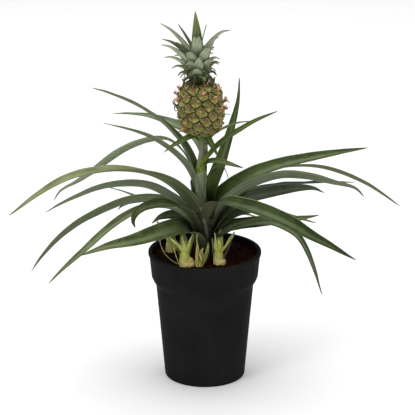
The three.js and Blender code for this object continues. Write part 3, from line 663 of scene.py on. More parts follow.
leafStyle = {"steps": 46, "across": 11, "thickness": 0.8, "narrowing": 0.97, "fullness": 2.1, "flare": 0.12,
             "waist": 0.2, "wave": 1.6}
leafRows = {
    "left_1": {"azimuth": 176, "width": 23, "gutter": 45, "roll": (-25, 45), "waist": 0.5, "shade": 1.1,
               "tone": "plain",
               "course": [(8, 210), (11, 231), (21, 254), (41, 278), (68, 297), (100, 311), (117, 316)]},
    "left_2": {"azimuth": 90, "sweep": 40, "width": 29, "gutter": 38, "roll": (0, -14), "fullness": 1.3,
               "waist": 0.8, "waistReach": 0.24, "tone": "greyed",
               "course": [(8, 224), (14, 242), (36, 252), (69, 254.5), (92, 256), (120, 258), (144, 257),
                          (158, 255.5)]},
    "left_3": {"azimuth": 190, "width": 17, "gutter": 42, "roll": (32, 28), "waist": 0.5,
               "shade": 1.05, "tone": "greyed",
               "course": [(9, 202), (12, 220), (20, 236), (36, 253), (61, 270), (93, 282), (107, 286)]},
    "left_4": {"azimuth": 160, "width": 20, "gutter": 42, "roll": (30, 50), "waist": 0.9, "waistReach": 0.36,
               "shade": 1.6, "tone": "greyed",
               "course": [(8, 202), (13, 227), (25, 248), (42, 258.5), (62, 255), (91, 241.5), (133, 209),
                          (149, 198), (161, 191), (169, 184), (174, 175)]},
    "left_5": {"azimuth": 197, "width": 37, "gutter": 40, "roll": (35, -24), "waist": 0.4, "fullness": 1.5,
               "tone": "olive",
               "course": [(8, 168), (13, 189), (25, 206), (42, 221), (61, 231), (84, 237), (110, 239),
                          (147, 234), (177, 220.5), (209, 200)]},
    "left_6": {"azimuth": 182, "width": 21, "gutter": 42, "roll": (40, 50), "waist": 0.45, "tone": "greyed",
               "course": [(8, 168), (17, 186), (35, 199), (60, 212), (90, 214), (112, 210), (133, 202),
                          (154, 192), (168, 184)]},
    "left_7": {"azimuth": 172, "width": 21, "gutter": 42, "roll": (35, 50), "waist": 0.45, "shade": 1.85,
               "tone": "deep",
               "course": [(8, 160), (18, 180), (34, 192), (52, 195), (70, 193.5), (91, 187.5),
                          (123, 171.5), (142, 159), (157, 146), (179, 121), (189, 106)]},
    "left_8": {"azimuth": 156, "width": 10, "gutter": 40, "tone": "greyed",
               "course": [(8, 170), (24, 182), (48, 188), (74, 188), (98, 193), (115, 195)]},
    "left_9": {"azimuth": 148, "width": 14, "gutter": 40, "roll": (30, 50), "shade": 0.7, "tone": "brown",
               "course": [(8, 156), (24, 171), (45, 180), (69, 183.5), (85, 179), (100, 173.5),
                          (108, 168.5), (112, 164)]},
    "left_10": {"azimuth": 232, "width": 40, "gutter": 42, "roll": (0, -25), "waist": 0.85,
                "waistReach": 0.38, "wrap": 5, "fullness": 1.6, "shade": 0.52, "tone": "fresh",
                "course": [(8, 150), (13, 170), (23, 184), (42, 199.5), (66, 209.5), (90, 213.5),
                           (105, 213.5), (114, 210), (117, 205), (114, 197)]},
    "left_11": {"azimuth": 203, "width": 21, "gutter": 42, "roll": (20, -28), "waist": 0.4, "shade": 1.3,
                "tone": "plain",
                "course": [(8, 154), (16, 174), (36, 191), (62, 196.5), (86, 190.5), (109, 178),
                           (139, 156), (161, 140), (175, 128)]},
    "left_12": {"azimuth": 214, "width": 38, "gutter": 38, "roll": (-10, -32), "waist": 0.15, "fullness": 1.3,
                "shade": 1.3, "tone": "plain",
                "course": [(8, 145), (12, 159), (20, 167.5), (37, 170.5), (59, 169.5), (88, 167.5),
                           (120, 168), (152, 165)]},
    "right_1": {"azimuth": 55, "width": 24, "gutter": 40, "fullness": 1.1, "shade": 1.15, "tone": "fresh",
                "course": [(8, 188), (14, 207), (25, 222), (40, 245), (52, 267), (62, 291), (64, 315)]},
    "right_2": {"azimuth": 15, "width": 30, "gutter": 42, "roll": (0, 25), "shade": 1.3, "tone": "rich",
                "course": [(8, 176), (13, 194), (26, 206), (49, 218), (80, 227), (118, 233), (155, 237),
                           (180, 239)]},
    "right_3": {"azimuth": 22, "width": 19, "gutter": 40, "roll": (0, -40), "tone": "olive",
                "course": [(8, 172), (20, 192), (45, 210), (80, 221), (115, 220), (146, 212), (190, 190),
                           (232, 159)]},
    "right_4": {"azimuth": 5, "width": 28, "gutter": 42, "roll": (-30, -50), "shade": 0.85, "tone": "greyed",
                "course": [(8, 166), (17, 188), (34, 202), (55, 213), (81, 220), (108, 218), (136, 211),
                           (160, 204), (170, 194)]},
    "right_5": {"azimuth": 35, "width": 15, "gutter": 40, "roll": (0, -45), "shade": 0.55, "tone": "deep",
                "course": [(8, 164), (30, 187), (60, 195.5), (91, 196), (128, 190.5), (172, 183.5),
                           (205, 177)]},
    "right_6": {"azimuth": 18, "width": 30, "gutter": 36, "roll": (0, 30), "shade": 0.72, "tone": "greyed",
                "course": [(8, 158), (20, 179), (44, 191), (75, 196), (108, 198), (123, 196), (135, 190)]},
    "right_7": {"azimuth": -74, "sweep": 49, "width": 33, "gutter": 42, "roll": (0, 20), "waist": 0.62,
                "waistReach": 0.3, "wrap": 8, "tone": "rich",
                "course": [(7, 150), (6.5, 164), (7.5, 176), (12.5, 189), (22, 199), (36, 205),
                           (57.5, 207), (77, 206), (94, 203), (113.5, 196), (130.5, 185), (150.5, 172),
                           (171, 155.5)]},
    "right_8": {"azimuth": 12, "width": 22, "gutter": 38, "roll": (0, 10), "tone": "plain",
                "course": [(8, 150), (20, 169), (40, 179), (66, 179), (98, 169.5), (123, 161)]},
    "right_9": {"azimuth": -8, "width": 27, "gutter": 16, "roll": (10, 20), "shade": 1.2, "tone": "deep",
                "course": [(8, 144), (12, 159), (21, 165.5), (40, 171), (62, 174.5), (95, 179), (121, 185)]},
    "right_10": {"azimuth": -22, "width": 16, "gutter": 40, "roll": (0, 25), "shade": 1.15, "tone": "deep",
                 "course": [(8, 144), (20, 160), (45, 173.5), (75, 180), (103, 170), (114, 155),
                            (124, 132), (132, 108)]},
    "back_1": {"azimuth": 95, "width": 17, "gutter": 42, "tone": "plain",
               "course": [(8, 162), (14, 180), (34, 189), (60, 186), (90, 171), (120, 147), (140, 124)]},
    "back_2": {"azimuth": 65, "width": 20, "gutter": 42, "tone": "fresh",
               "course": [(8, 156), (16, 173), (40, 184), (75, 181), (110, 163), (140, 138)]},
    "back_3": {"azimuth": 112, "width": 18, "gutter": 42, "tone": "deep",
               "course": [(8, 150), (18, 166), (45, 174), (75, 159), (95, 134), (104, 112)]},
    "back_4": {"azimuth": 172, "width": 34, "gutter": 30, "roll": (0, -20), "shade": 0.8, "tone": "deep",
               "course": [(6, 150), (10, 168), (21, 176), (35, 177), (48, 174), (57, 167)]},
    "back_5": {"azimuth": 45, "width": 18, "gutter": 40, "tone": "plain",
               "course": [(8, 146), (20, 160), (45, 168), (70, 162), (90, 150)]},
}
for order, (key, row) in enumerate(leafRows.items()):
    blade = growBlade({**row, "seed": order * 3.7}, leafStyle, leafMaterials[row["tone"]])
    addPiece("longLeaf_" + key, blade, "leaf", "leaf_" + key)
print("long leaves:", len(leafRows))


# Bracts on the flower stalk

bractStyle = {**leafStyle, "steps": 26, "across": 9, "wave": 0.8}
bractRows = [
    {"foot": (-4, -6), "azimuth": -22, "width": 10.5, "roll": (36, 40), "fullness": 3.0, "shade": 0.85,
     "course": [(0.7, 232), (3, 239), (6.5, 244.5), (11.5, 251), (17, 258), (24, 264.5), (34, 273),
                (44, 280), (60, 291), (85, 304.5)]},
    {"azimuth": 25, "width": 7, "gutter": 30,
     "course": [(2, 256), (9, 266), (25, 273), (40, 276), (62, 275)]},
    {"foot": (-4, -6.5), "azimuth": -18, "width": 14, "gutter": 26, "roll": (5, 22),
     "course": [(0.5, 230), (2.5, 235.5), (7.5, 240.5), (14.5, 242.5), (26.5, 241.5), (38, 239.5),
                (47, 238)]},
    {"azimuth": 10, "width": 7, "gutter": 30, "shade": 0.6,
     "course": [(2, 218), (10, 231), (19, 232), (23, 226), (25, 218)]},
    {"foot": (-4, -5), "azimuth": -30, "width": 10, "gutter": 35, "roll": (30, 30),
     "course": [(1, 271), (4.5, 271), (10, 264), (15, 257), (21, 248)]},
    {"foot": (-4, -2), "azimuth": 200, "width": 11, "gutter": 35, "roll": (-16, -20),
     "course": [(0.5, 264), (4, 268), (12, 267), (25, 262), (33, 258.5), (41, 253)]},
    {"azimuth": 150, "width": 5, "gutter": 30,
     "course": [(3, 256), (12, 264), (22, 268), (32, 266), (39, 261)]},
]
for order, row in enumerate(bractRows, 1):
    blade = growBlade({**row, "seed": order * 5.3}, bractStyle, leafMaterials["bract"],
                      centre=row.get("foot", (0, 0)))
    addPiece(f"stalkBract_{order}", blade, "bract", f"bract_{order}")
print("bracts:", len(bractRows))


# Pot

pot = {
    "height": 140, "rimRadius": 60, "rimWidth": 4.6, "rimHeight": 5, "collarTop": 58.8, "collarFoot": 56.7,
    "collarFootHeight": 111.5, "shoulderHeight": 101.3, "shoulderRadius": 51.8, "footRadius": 42.9,
    "footRounding": 3, "wall": 1.6, "floor": 2.2, "corner": 1.1, "sides": 144, "sharpAngle": 40,
    # the step under the collar: how far it rises, and how far it juts out below and draws in above
    "stepRise": 3.2, "stepOut": 0.6, "stepIn": 1.8, "collarEdge": 1, "rimUnder": 1.4,
    "holes": 6, "holeRadius": 4, "holeSides": 28, "holeCircle": 29,
    # the fine line round the wall: how far below the shoulder, half its height and how far it stands out
    "lineDrop": 22, "lineHalf": 0.5, "lineOut": 0.22, "lineHollow": 0.05,
}


def makePot():
    wall, lipFoot = pot["wall"], pot["height"] - pot["rimHeight"]
    line = pot["shoulderHeight"] - pot["lineDrop"]
    lineRadius = between([(pot["footRounding"], pot["footRadius"]),
                          (pot["shoulderHeight"], pot["shoulderRadius"])], line)
    profile = rounded([
        (0, 0),
        (pot["footRadius"], 0),
        (lineRadius - pot["lineHollow"], line - pot["lineHalf"]),
        (lineRadius + pot["lineOut"], line),
        (lineRadius + pot["lineHollow"], line + pot["lineHalf"]),
        (pot["shoulderRadius"], pot["shoulderHeight"]),
        (pot["shoulderRadius"] + pot["stepOut"], pot["shoulderHeight"] + pot["stepRise"]),
        (pot["collarFoot"] - pot["stepIn"], pot["collarFootHeight"] - pot["stepRise"]),
        (pot["collarFoot"], pot["collarFootHeight"] + pot["collarEdge"]),
        (pot["collarTop"], lipFoot),
        (pot["rimRadius"], lipFoot + pot["rimUnder"]),
        (pot["rimRadius"], pot["height"]),
        (pot["rimRadius"] - pot["rimWidth"], pot["height"]),
        (pot["collarTop"] - wall, lipFoot),
        (pot["collarFoot"] - wall, pot["collarFootHeight"]),
        (pot["shoulderRadius"] - wall, pot["shoulderHeight"]),
        (pot["footRadius"] - wall, pot["floor"]),
        (0, pot["floor"]),
    ], pot["corner"])
    drill = bmesh.new()
    for k in range(pot["holes"]):
        turn = 2 * math.pi * k / pot["holes"]
        radius = pot["holeRadius"] * mm
        centre = Vector((math.cos(turn), math.sin(turn), 0)) * pot["holeCircle"] * mm
        made = bmesh.ops.create_cone(drill, cap_ends=True, segments=pot["holeSides"], radius1=radius,
                                     radius2=radius, depth=pot["floor"] * 4 * mm)
        bmesh.ops.translate(drill, verts=made["verts"], vec=centre)
    drillMesh = bpy.data.meshes.new("drill")
    drill.to_mesh(drillMesh)
    driller = newObject("driller", drillMesh)
    holder = newObject("potHolder", turnedMesh("pot", profile, pot["sides"]))
    cut = holder.modifiers.new("holes", "BOOLEAN")
    cut.operation, cut.solver, cut.object = "DIFFERENCE", "EXACT", driller
    mesh = plainMesh(holder)
    bpy.data.objects.remove(driller)
    mesh.materials.clear()
    smooth(mesh, potPlastic)
    mesh.set_sharp_from_angle(angle=math.radians(pot["sharpAngle"]))
    return mesh


addPiece("potShell", makePot(), "pot", "pot")
print("pot")


# Soil

soil = {
    "height": 134, "sides": 120, "rings": 34, "gap": 0.3, "waves": 0.45, "grains": 0.198, "seed": 11,
    # its rounded upper edge: how far it draws in and drops, and how far in the first ring of the top lies
    "edgeIn": 0.4, "edgeDrop": 3, "topIn": 1, "collarIn": 0.2,
    # crumbs: how many on a square metre, their sizes, how they lie, and the shapes they are picked from
    "crumbs": 90000.0, "smallest": 0.35, "largest": 0.95, "spin": (0.8, 0.8, 6.28),
    "shapes": [(1, 1, 0.8), (1.5, 0.8, 0.6), (2.6, 0.35, 0.3)],
}


def soilTop(x, y):  # long waves and small grains
    waves = math.sin(x * 0.31 + 1.3) * math.cos(y * 0.27) + 0.6 * math.sin(x * 0.13 - y * 0.19 + 2)
    grains = math.sin(x * 1.7 + 0.6 * y) * math.sin(y * 1.9 - 0.4 * x)
    grains += math.sin(x * 2.9) * math.sin(y * 2.6 + 1)
    return soil["height"] + soil["waves"] * waves + soil["grains"] * grains


def makeSoilBody():
    inset = pot["wall"] + soil["gap"]
    edge = pot["collarTop"] - inset
    top = edge - soil["topIn"]
    rings = [(top * (1 - k / soil["rings"]), soil["height"]) for k in range(soil["rings"])]
    profile = [
        (0, pot["floor"] + soil["gap"]),
        (pot["footRadius"] - inset, pot["floor"] + soil["gap"]),
        (pot["shoulderRadius"] - inset, pot["shoulderHeight"]),
        (pot["collarFoot"] - inset - soil["collarIn"], pot["collarFootHeight"]),
        (edge - soil["edgeIn"], soil["height"] - soil["edgeDrop"]),
        *rings,
        (0, soil["height"]),
    ]
    mesh = turnedMesh("soil", profile, soil["sides"])
    for vertex in mesh.vertices:
        if vertex.co.z > (soil["height"] - 0.1) * mm:
            vertex.co.z = soilTop(vertex.co.x / mm, vertex.co.y / mm) * mm
    return smooth(mesh, soilPeat)


def crumbMeshes():  # small lumps of uneven shape
    draw = random.Random(soil["seed"])
    meshes = []
    for k, stretch in enumerate(soil["shapes"]):
        lump = bmesh.new()
        bmesh.ops.create_icosphere(lump, subdivisions=1, radius=1.0 * mm)
        for vertex in lump.verts:
            for axis in range(3):
                vertex.co[axis] *= stretch[axis] * draw.uniform(0.7, 1.25)
        meshes.append(bpy.data.meshes.new(f"crumb{k}"))
        lump.to_mesh(meshes[-1])
    return meshes


def makeCrumbTree():
    n, given = newTree("crumbs", {"Collection": ["Shapes"], "Float": ["Density", "Small", "Large"],
                                  "Int": ["Seed"], "Material": ["Material"]})
    facing = n.add("GeometryNodeInputNormal").split()[2]
    height = n.add("GeometryNodeInputPosition").split()[2]
    onTop = facing.math("GREATER_THAN", 0.5) * height.math("GREATER_THAN", (soil["height"] - 2) * mm)
    spread = n.add("GeometryNodeDistributePointsOnFaces", {
        "Mesh": given["Geometry"], "Selection": onTop, "Density": given["Density"], "Seed": given["Seed"]})
    size = n.random(given["Small"], given["Large"], given["Seed"])
    spin = n.add("FunctionNodeRandomValue", {0: (0, 0, 0), 1: soil["spin"], "Seed": given["Seed"]},
                 data_type="FLOAT_VECTOR")
    placed = n.add("GeometryNodeInstanceOnPoints", {
        "Points": spread, "Instance": n.shapes(given["Shapes"]), "Pick Instance": True,
        "Rotation": spin, "Scale": size})
    return closeTree(n, placed, given["Material"])


soilBody = makeSoilBody()
lumps = shapeGroup("crumbShapes", crumbMeshes())
crumbs = grown(soilBody.copy(), makeCrumbTree(), {
    "Shapes": lumps, "Density": soil["crumbs"], "Seed": soil["seed"], "Small": soil["smallest"],
    "Large": soil["largest"], "Material": soilPeat})
dropGroup(lumps)
addPiece("soilBlock", soilBody, "soil", "soil")
addPiece("soilCrumbs", crumbs, "soil")
print("soil:", len(crumbs.polygons), "crumb faces")


# Stem and flower stalk

stem = {
    "profile": [(96, 8.0), (134, 9.0), (165, 9.6), (205, 9.2), (226, 8.4), (238, 6.4), (250, 5.4),
                (267.7, 6.2)],
    "sides": 96, "step": 0.8, "inset": 1.0,
    # each sheath's top edge: height, how far it slants, which way its high side points, and how thick it is
    "sheaths": [(150, 7, 200, 0.45), (163, 8, 20, 0.54), (176, 9, 250, 0.54), (189, 9, 110, 0.54),
                (222, 8, -60, 0.81), (236, 5, 330, 0.63)],
    "edgeBlur": 0.35,
    # the pale sheath in front: its top edge, half its spread in degrees at each height, the way it faces
    "paleTop": (222, 8, -60), "paleFaces": -72, "paleBlur": 2.5, "paleThick": 0.8,
    "paleSpread": [(150, 2), (165, 6), (185, 20), (200, 34), (212, 52), (222, 80), (226, 100)],
    # the swelling under that edge on the left: how thick it is, its middle height and half its length
    "swell": (2.6, 224, 14), "ribs": 17, "ribDepth": 0.1,
    # above this height the bare stalk has painted light on its left and painted shade on its right
    "stalkFrom": 232,
}


def underEdge(z, azimuth, edge, slant, toward):  # 1 below a sheath's slanting top edge, 0 above it
    return step(z - edge - slant * math.cos(azimuth - math.radians(toward)), stem["edgeBlur"])


def makeStem():
    low, high = stem["profile"][0][0], stem["profile"][-1][0]
    count = int((high - low) / stem["step"])
    heights = [low + (high - low) * k / count for k in range(count + 1)]
    profile = [(0, low), *[(between(stem["profile"], z), z) for z in heights], (0, high)]
    mesh = turnedMesh("stem", profile, stem["sides"], lean=True)
    swell, swellMiddle, swellHalf = stem["swell"]
    pale = []
    for vertex in mesh.vertices:
        z = vertex.co.z / mm
        shift = leanAt(z)
        x, y = vertex.co.x / mm - shift, vertex.co.y / mm
        flat = math.hypot(x, y)
        if flat < 0.5:
            pale.append(0.0)
            continue
        azimuth = math.atan2(y, x)
        turned = abs((math.degrees(azimuth) - stem["paleFaces"] + 180) % 360 - 180)
        inFront = step(turned - between(stem["paleSpread"], z), stem["paleBlur"])
        below = underEdge(z, azimuth, *stem["paleTop"])
        more = sum(thick * (underEdge(z, azimuth, *edge) - 0.5) for *edge, thick in stem["sheaths"])
        leftward = max(0.0, -math.cos(azimuth)) ** 2
        more += swell * leftward * math.exp(-((z - swellMiddle) / swellHalf) ** 2) * below
        more += stem["ribDepth"] * math.sin(azimuth * stem["ribs"] + z * 0.02)
        more += stem["paleThick"] * inFront * below
        # on the stalk: painted light on the left, painted shade on the right
        stalkLightAndShade = 0.5 - 0.45 * math.cos(azimuth + math.radians(20))
        pale.append(inFront * below if z < stem["stalkFrom"] else stalkLightAndShade)
        scale = (flat + more - stem["inset"]) / flat
        vertex.co.x = (shift + x * scale) * mm
        vertex.co.y = y * scale * mm
    mesh.attributes.new("paleSheath", "FLOAT", "POINT").data.foreach_set("value", pale)
    return smooth(mesh, stemSheath)


addPiece("stemAndStalk", makeStem(), "stem", "stem")
print("stem")


# Fruit

fruit = {
    "profile": [(6.6, 268), (12.0, 270.2), (16.8, 274.8), (20.6, 281.5), (22.2, 289.5), (22.4, 298),
                (21.5, 306.5), (19.2, 314.5), (15.4, 321), (11.0, 324)],
    "sides": 240, "rings": 110, "slices": 400,
    # eyes: how far they stray, their swell, the groove between them and how far its slope reaches
    "eyes": 68, "stray": 1.0, "seed": 5, "bulge": 1.9, "groove": 0.9, "reach": 2.6,
    # the knob in an eye: above its middle, half its width and height, and how far it stands out
    "knob": (0.4, 1.5, 1.9, 0.6),
    # the lip on it: above the middle, its curve, half its thickness and width, and how far it stands out
    "lip": (0.8, 0.12, 0.7, 3.2, 0.7),
    # least swell and how much luck adds, how far an eye reaches upward, and how level its swell points
    "swell": (0.75, 0.5), "eyeSpan": 8, "level": 0.75,
    # roughness of the rind: grain, seed and depth
    "rough": [(1.6, 3, 0.55), (0.8, 4, 0.3)],
    # which eyes carry dried flowers, and where these crowd
    "trimFrom": 271.5, "trimTo": 322.5, "bloomSeed": 9, "bloomShare": 0.4,
    "crowdSide": 12, "crowdLow": 297, "crowdFront": 10,
}
goldenAngle = math.radians(137.508)


def roughness(points, size, seed):  # even, seeded roughness between about -1 and 1
    count = 40
    draw = np.random.default_rng(seed)
    waves = draw.normal(size=(3, count))
    waves /= np.linalg.norm(waves, axis=0) * size * 0.8
    return np.sin(points @ waves + draw.uniform(0, 6.28, count)).sum(1) / math.sqrt(count / 2)


def fruitRadius(height):
    return between([(z, r) for r, z in fruit["profile"]], height)


def fruitEyes():
    # on a spiral, with the same area of rind for each eye
    low, high = fruit["profile"][0][1], fruit["profile"][-1][1]
    slice = (high - low) / fruit["slices"]
    reached = [0.0]
    for k in range(fruit["slices"]):
        z = low + slice * k
        slant = math.hypot(fruitRadius(z + slice) - fruitRadius(z), slice)
        reached.append(reached[-1] + fruitRadius(z) * slant)
    eyes, outs = [], []
    draw = random.Random(fruit["seed"])
    for k in range(fruit["eyes"]):
        share = (k + 0.5) / fruit["eyes"] * reached[-1]
        height = low + slice * next(i for i, value in enumerate(reached) if value >= share)
        height += draw.uniform(-1, 1) * fruit["stray"]
        radius = fruitRadius(height)
        turn = k * goldenAngle + draw.uniform(-1, 1) * fruit["stray"] / radius
        slope = (fruitRadius(height + 1) - fruitRadius(height - 1)) / 2
        eyes.append((radius * math.cos(turn), radius * math.sin(turn), height))
        outs.append(Vector((math.cos(turn), math.sin(turn), -slope)).normalized())
    return np.array(eyes), np.array([tuple(o) for o in outs])


def makeFruit(eyes, outs):
    line = courseLine(fruit["profile"])
    length = lengthsAlong(line)
    spots = np.linspace(0, length[-1], fruit["rings"] + 1)
    profile = list(zip(np.interp(spots, length, line[:, 0]), np.interp(spots, length, line[:, 1])))
    mesh = turnedMesh("fruit", [(0, profile[0][1]), *profile, (0, profile[-1][1])], fruit["sides"])
    points = np.array([v.co for v in mesh.vertices]) / mm
    # each point's own eye, and how far it is from the groove round that eye
    apart = np.linalg.norm(points[:, None, :] - eyes[None], axis=2)
    order = np.argsort(apart, axis=1)
    rows = np.arange(len(points))
    own = order[:, 0]
    toGroove = np.clip((apart[rows, order[:, 1]] - apart[rows, own]) / fruit["reach"], 0, 1)
    # where it lies on the eye, sideways and upward
    out = outs[own]
    aside = np.stack([-out[:, 1], out[:, 0], np.zeros(len(out))], 1)
    aside /= np.linalg.norm(aside, axis=1)[:, None]
    offset = points - eyes[own]
    high = (offset * np.cross(out, aside)).sum(1)
    wide = (offset * aside).sum(1)
    # pillow, knob, lip and roughness
    pillow = 1 - (1 - toGroove) ** 2
    above, halfWidth, halfHeight, knobOut = fruit["knob"]
    knob = np.exp(-(wide / halfWidth) ** 2 - ((high - above) / halfHeight) ** 2)
    above, curve, halfThick, halfWidth, lipOut = fruit["lip"]
    lip = np.exp(-((high - above + wide ** 2 * curve) / halfThick) ** 2)
    lip *= np.clip(1 - np.abs(wide) / halfWidth, 0, 1)
    rough = sum(roughness(points, grain, seed) * depth for grain, seed, depth in fruit["rough"])
    tints = np.random.default_rng(fruit["seed"]).random(len(eyes))
    least, luck = fruit["swell"]
    swell = fruit["bulge"] * (least + luck * tints[own])
    lift = pillow * (swell + fruit["groove"] + rough) - fruit["groove"] + knob * knobOut + lip * lipOut
    flat = np.hypot(points[:, 0], points[:, 1])
    lift *= flat > fruit["profile"][0][0] + 0.1  # the caps stay flat
    outward = points * (1, 1, 0) / np.maximum(flat, 1e-6)[:, None]
    points = points + (outward * fruit["level"] + out * (1 - fruit["level"])) * lift[:, None]
    points[:, 0] += [leanAt(z) for z in points[:, 2]]
    mesh.vertices.foreach_set("co", (points * mm).ravel())
    low = np.clip(0.5 - high / fruit["eyeSpan"], 0, 1)
    for label, values in (("eyeGroove", toGroove), ("eyeHeart", knob), ("eyeTint", tints[own]),
                          ("eyeLift", low), ("eyeWide", wide), ("eyeHigh", high)):
        mesh.attributes.new(label, "FLOAT", "POINT").data.foreach_set("value", values.astype(np.float32))
    mesh.update()
    return smooth(mesh, fruitRind)


# how a dried strand or scale tapers, its thickness as a share of its width, and how its twist tilts it
ribbonShape = {"stride": 6, "taper": 0.85, "fullness": 1.5, "thick": 0.28, "tilt": 0.6}


def ribbon(name, course, width, twist):
    # four-sided, along a short course of (x, z) stations
    line = courseLine(course)[::ribbonShape["stride"]]
    last = len(line) - 1
    points = []
    for k, (x, z) in enumerate(line):
        t = k / last
        half = width * (1 - t ** ribbonShape["fullness"] * ribbonShape["taper"]) / 2
        turn = twist * t
        for side, up in ((-1, 0), (0, 1), (1, 0), (0, -1)):
            y = side * half
            n = up * half * ribbonShape["thick"]
            points.append(((x + n * math.cos(turn)) * mm, (y * math.cos(turn) - n * math.sin(turn)) * mm,
                           (z + y * math.sin(turn) * ribbonShape["tilt"]) * mm))
    faces = [(k + i, k + (i + 1) % 4, k + 4 + (i + 1) % 4, k + 4 + i)
             for k in range(0, last * 4, 4) for i in range(4)]
    faces += [(3, 2, 1, 0), tuple(last * 4 + i for i in range(4))]
    mesh = meshFrom(name, points, faces)
    outwards = bmesh.new()
    outwards.from_mesh(mesh)
    bmesh.ops.recalc_face_normals(outwards, faces=outwards.faces)
    outwards.to_mesh(mesh)
    return smooth(mesh)


# course, width and twist of each dried flower end, and of each dry scale
wispCourses = [
    ([(0, -1.0), (0.3, 1.6), (2.2, 2.8), (4.8, 3.2)], 2.8, 1.2),
    ([(0, -1.0), (-0.4, 1.8), (1.2, 3.6), (3.6, 4.2), (5.2, 3.0)], 2.2, -1.4),
    ([(0, -1.0), (0.8, 1.2), (1.6, 2.4), (1.2, 4.2)], 3.0, 0.8),
    ([(0, -1.0), (1.2, 1.6), (2.2, 3.2), (4.2, 4.0), (6.2, 5.2)], 1.7, 2.0),
    ([(0, -1.0), (1.6, 1.0), (3.4, 1.2), (4.8, 0.4)], 2.4, -0.6),
]
scaleCourses = [
    ([(0, -0.8), (0.5, 1.1), (1.6, 2.6), (3.4, 3.6)], 3.4, 0.3),
    ([(0, -0.8), (0.9, 0.9), (2.2, 1.6), (3.8, 1.8)], 2.8, -0.5),
]
# how far they stand off the eye's middle, their sizes, how far they spin and the share that is kept
scaleLook = {"proud": 1.3, "Seed": 3, "Small": 0.8, "Large": 1.3, "Spin": 0.8, "Keep": 1.0}
wispLook = {"proud": 1.8, "Seed": 20, "Small": 0.6, "Large": 1.45, "Spin": 1.3, "Keep": 0.75}
crowdLook = {"proud": 1.8, "Seed": 90, "Small": 0.9, "Large": 1.5, "Spin": 1.5, "Keep": 0.8}


def makeTrimTree():
    n, given = newTree("eyeTrim", {"Collection": ["Shapes"], "Int": ["Seed"],
                                   "Float": ["Small", "Large", "Spin", "Keep"], "Material": ["Material"]})
    out = n.add("GeometryNodeInputNamedAttribute", {"Name": "out"}, data_type="FLOAT_VECTOR")
    outward = n.add("FunctionNodeAlignRotationToVector", {"Vector": out}, axis="Z")
    upright = n.add("FunctionNodeAlignRotationToVector", {"Rotation": outward, "Vector": (0, 0, 1)},
                    axis="X", pivot_axis="Z")
    spin = n.random(given["Spin"] * -1.0, given["Spin"], given["Seed"] + 1.0)
    about = n.add("FunctionNodeAxisAngleToRotation", {"Axis": (0, 0, 1), "Angle": spin})
    turned = n.add("FunctionNodeRotateRotation", {"Rotation": upright, "Rotate By": about},
                   rotation_space="LOCAL")
    kept = n.random(0.0, 1.0, given["Seed"] + 2.0).math("LESS_THAN", given["Keep"])
    placed = n.add("GeometryNodeInstanceOnPoints", {
        "Points": n.add("GeometryNodeMeshToPoints", [given["Geometry"]]), "Selection": kept,
        "Instance": n.shapes(given["Shapes"]), "Pick Instance": True, "Rotation": turned,
        "Scale": n.random(given["Small"], given["Large"], given["Seed"])})
    return closeTree(n, placed, given["Material"])


trimTree = makeTrimTree()


def eyeTrim(where, courses, look, material, turn=0):
    group = shapeGroup("trimShapes", [ribbon(f"trim{k}", *course) for k, course in enumerate(courses)])
    places = [(x + leanAt(z), y, z) for x, y, z in eyes[where] + outs[where] * look["proud"]]
    cloud = meshFrom("eyePoints", np.array(places) * mm, [])
    cloud.attributes.new("out", "FLOAT_VECTOR", "POINT").data.foreach_set(
        "vector", outs[where].astype(np.float32).ravel())
    mesh = grown(cloud, trimTree, {**look, "Seed": look["Seed"] + 7 * turn, "Shapes": group,
                                   "Material": material})
    dropGroup(group)
    return mesh


def eyeWisps(where, look, rounds, brownRound):
    return [eyeTrim(where, wispCourses, look, bractBrown if turn == brownRound else wispOrange, turn)
            for turn in range(rounds)]


eyes, outs = fruitEyes()
addPiece("fruitBody", makeFruit(eyes, outs), "fruit", "fruit")
shown = (eyes[:, 2] > fruit["trimFrom"]) & (eyes[:, 2] < fruit["trimTo"])
blooms = shown & (np.random.default_rng(fruit["bloomSeed"]).random(len(eyes)) < fruit["bloomShare"])
# the dried flowers crowd at the two shoulders
shoulders = shown & (np.abs(eyes[:, 0]) > fruit["crowdSide"]) & (eyes[:, 2] > fruit["crowdLow"])
shoulders &= eyes[:, 1] < fruit["crowdFront"]
addPiece("fruitEyeScales", eyeTrim(shown, scaleCourses, scaleLook, bractBrown), "fruit")
wisps = eyeWisps(blooms, wispLook, 6, 4) + eyeWisps(shoulders, crowdLook, 5, 3)
addPiece("fruitWisps", joined(wisps), "fruit")
strandRows = [
    {"azimuth": -20, "width": 3.4, "course": [(20, 302), (25, 306), (29, 308), (32, 305)]},
    {"azimuth": 195, "width": 2.4, "course": [(20, 298), (25, 302), (28, 300), (27, 295), (24.5, 297)]},
    {"azimuth": -15, "width": 1.8, "course": [(20, 288), (26, 292), (31, 292)]},
]
strands = [growBlade(row, bractStyle, leafMaterials["brown"], lean=True) for row in strandRows]
addPiece("fruitStrands", joined(strands), "fruit")
print("fruit:", fruit["eyes"], "eyes")


# Crown

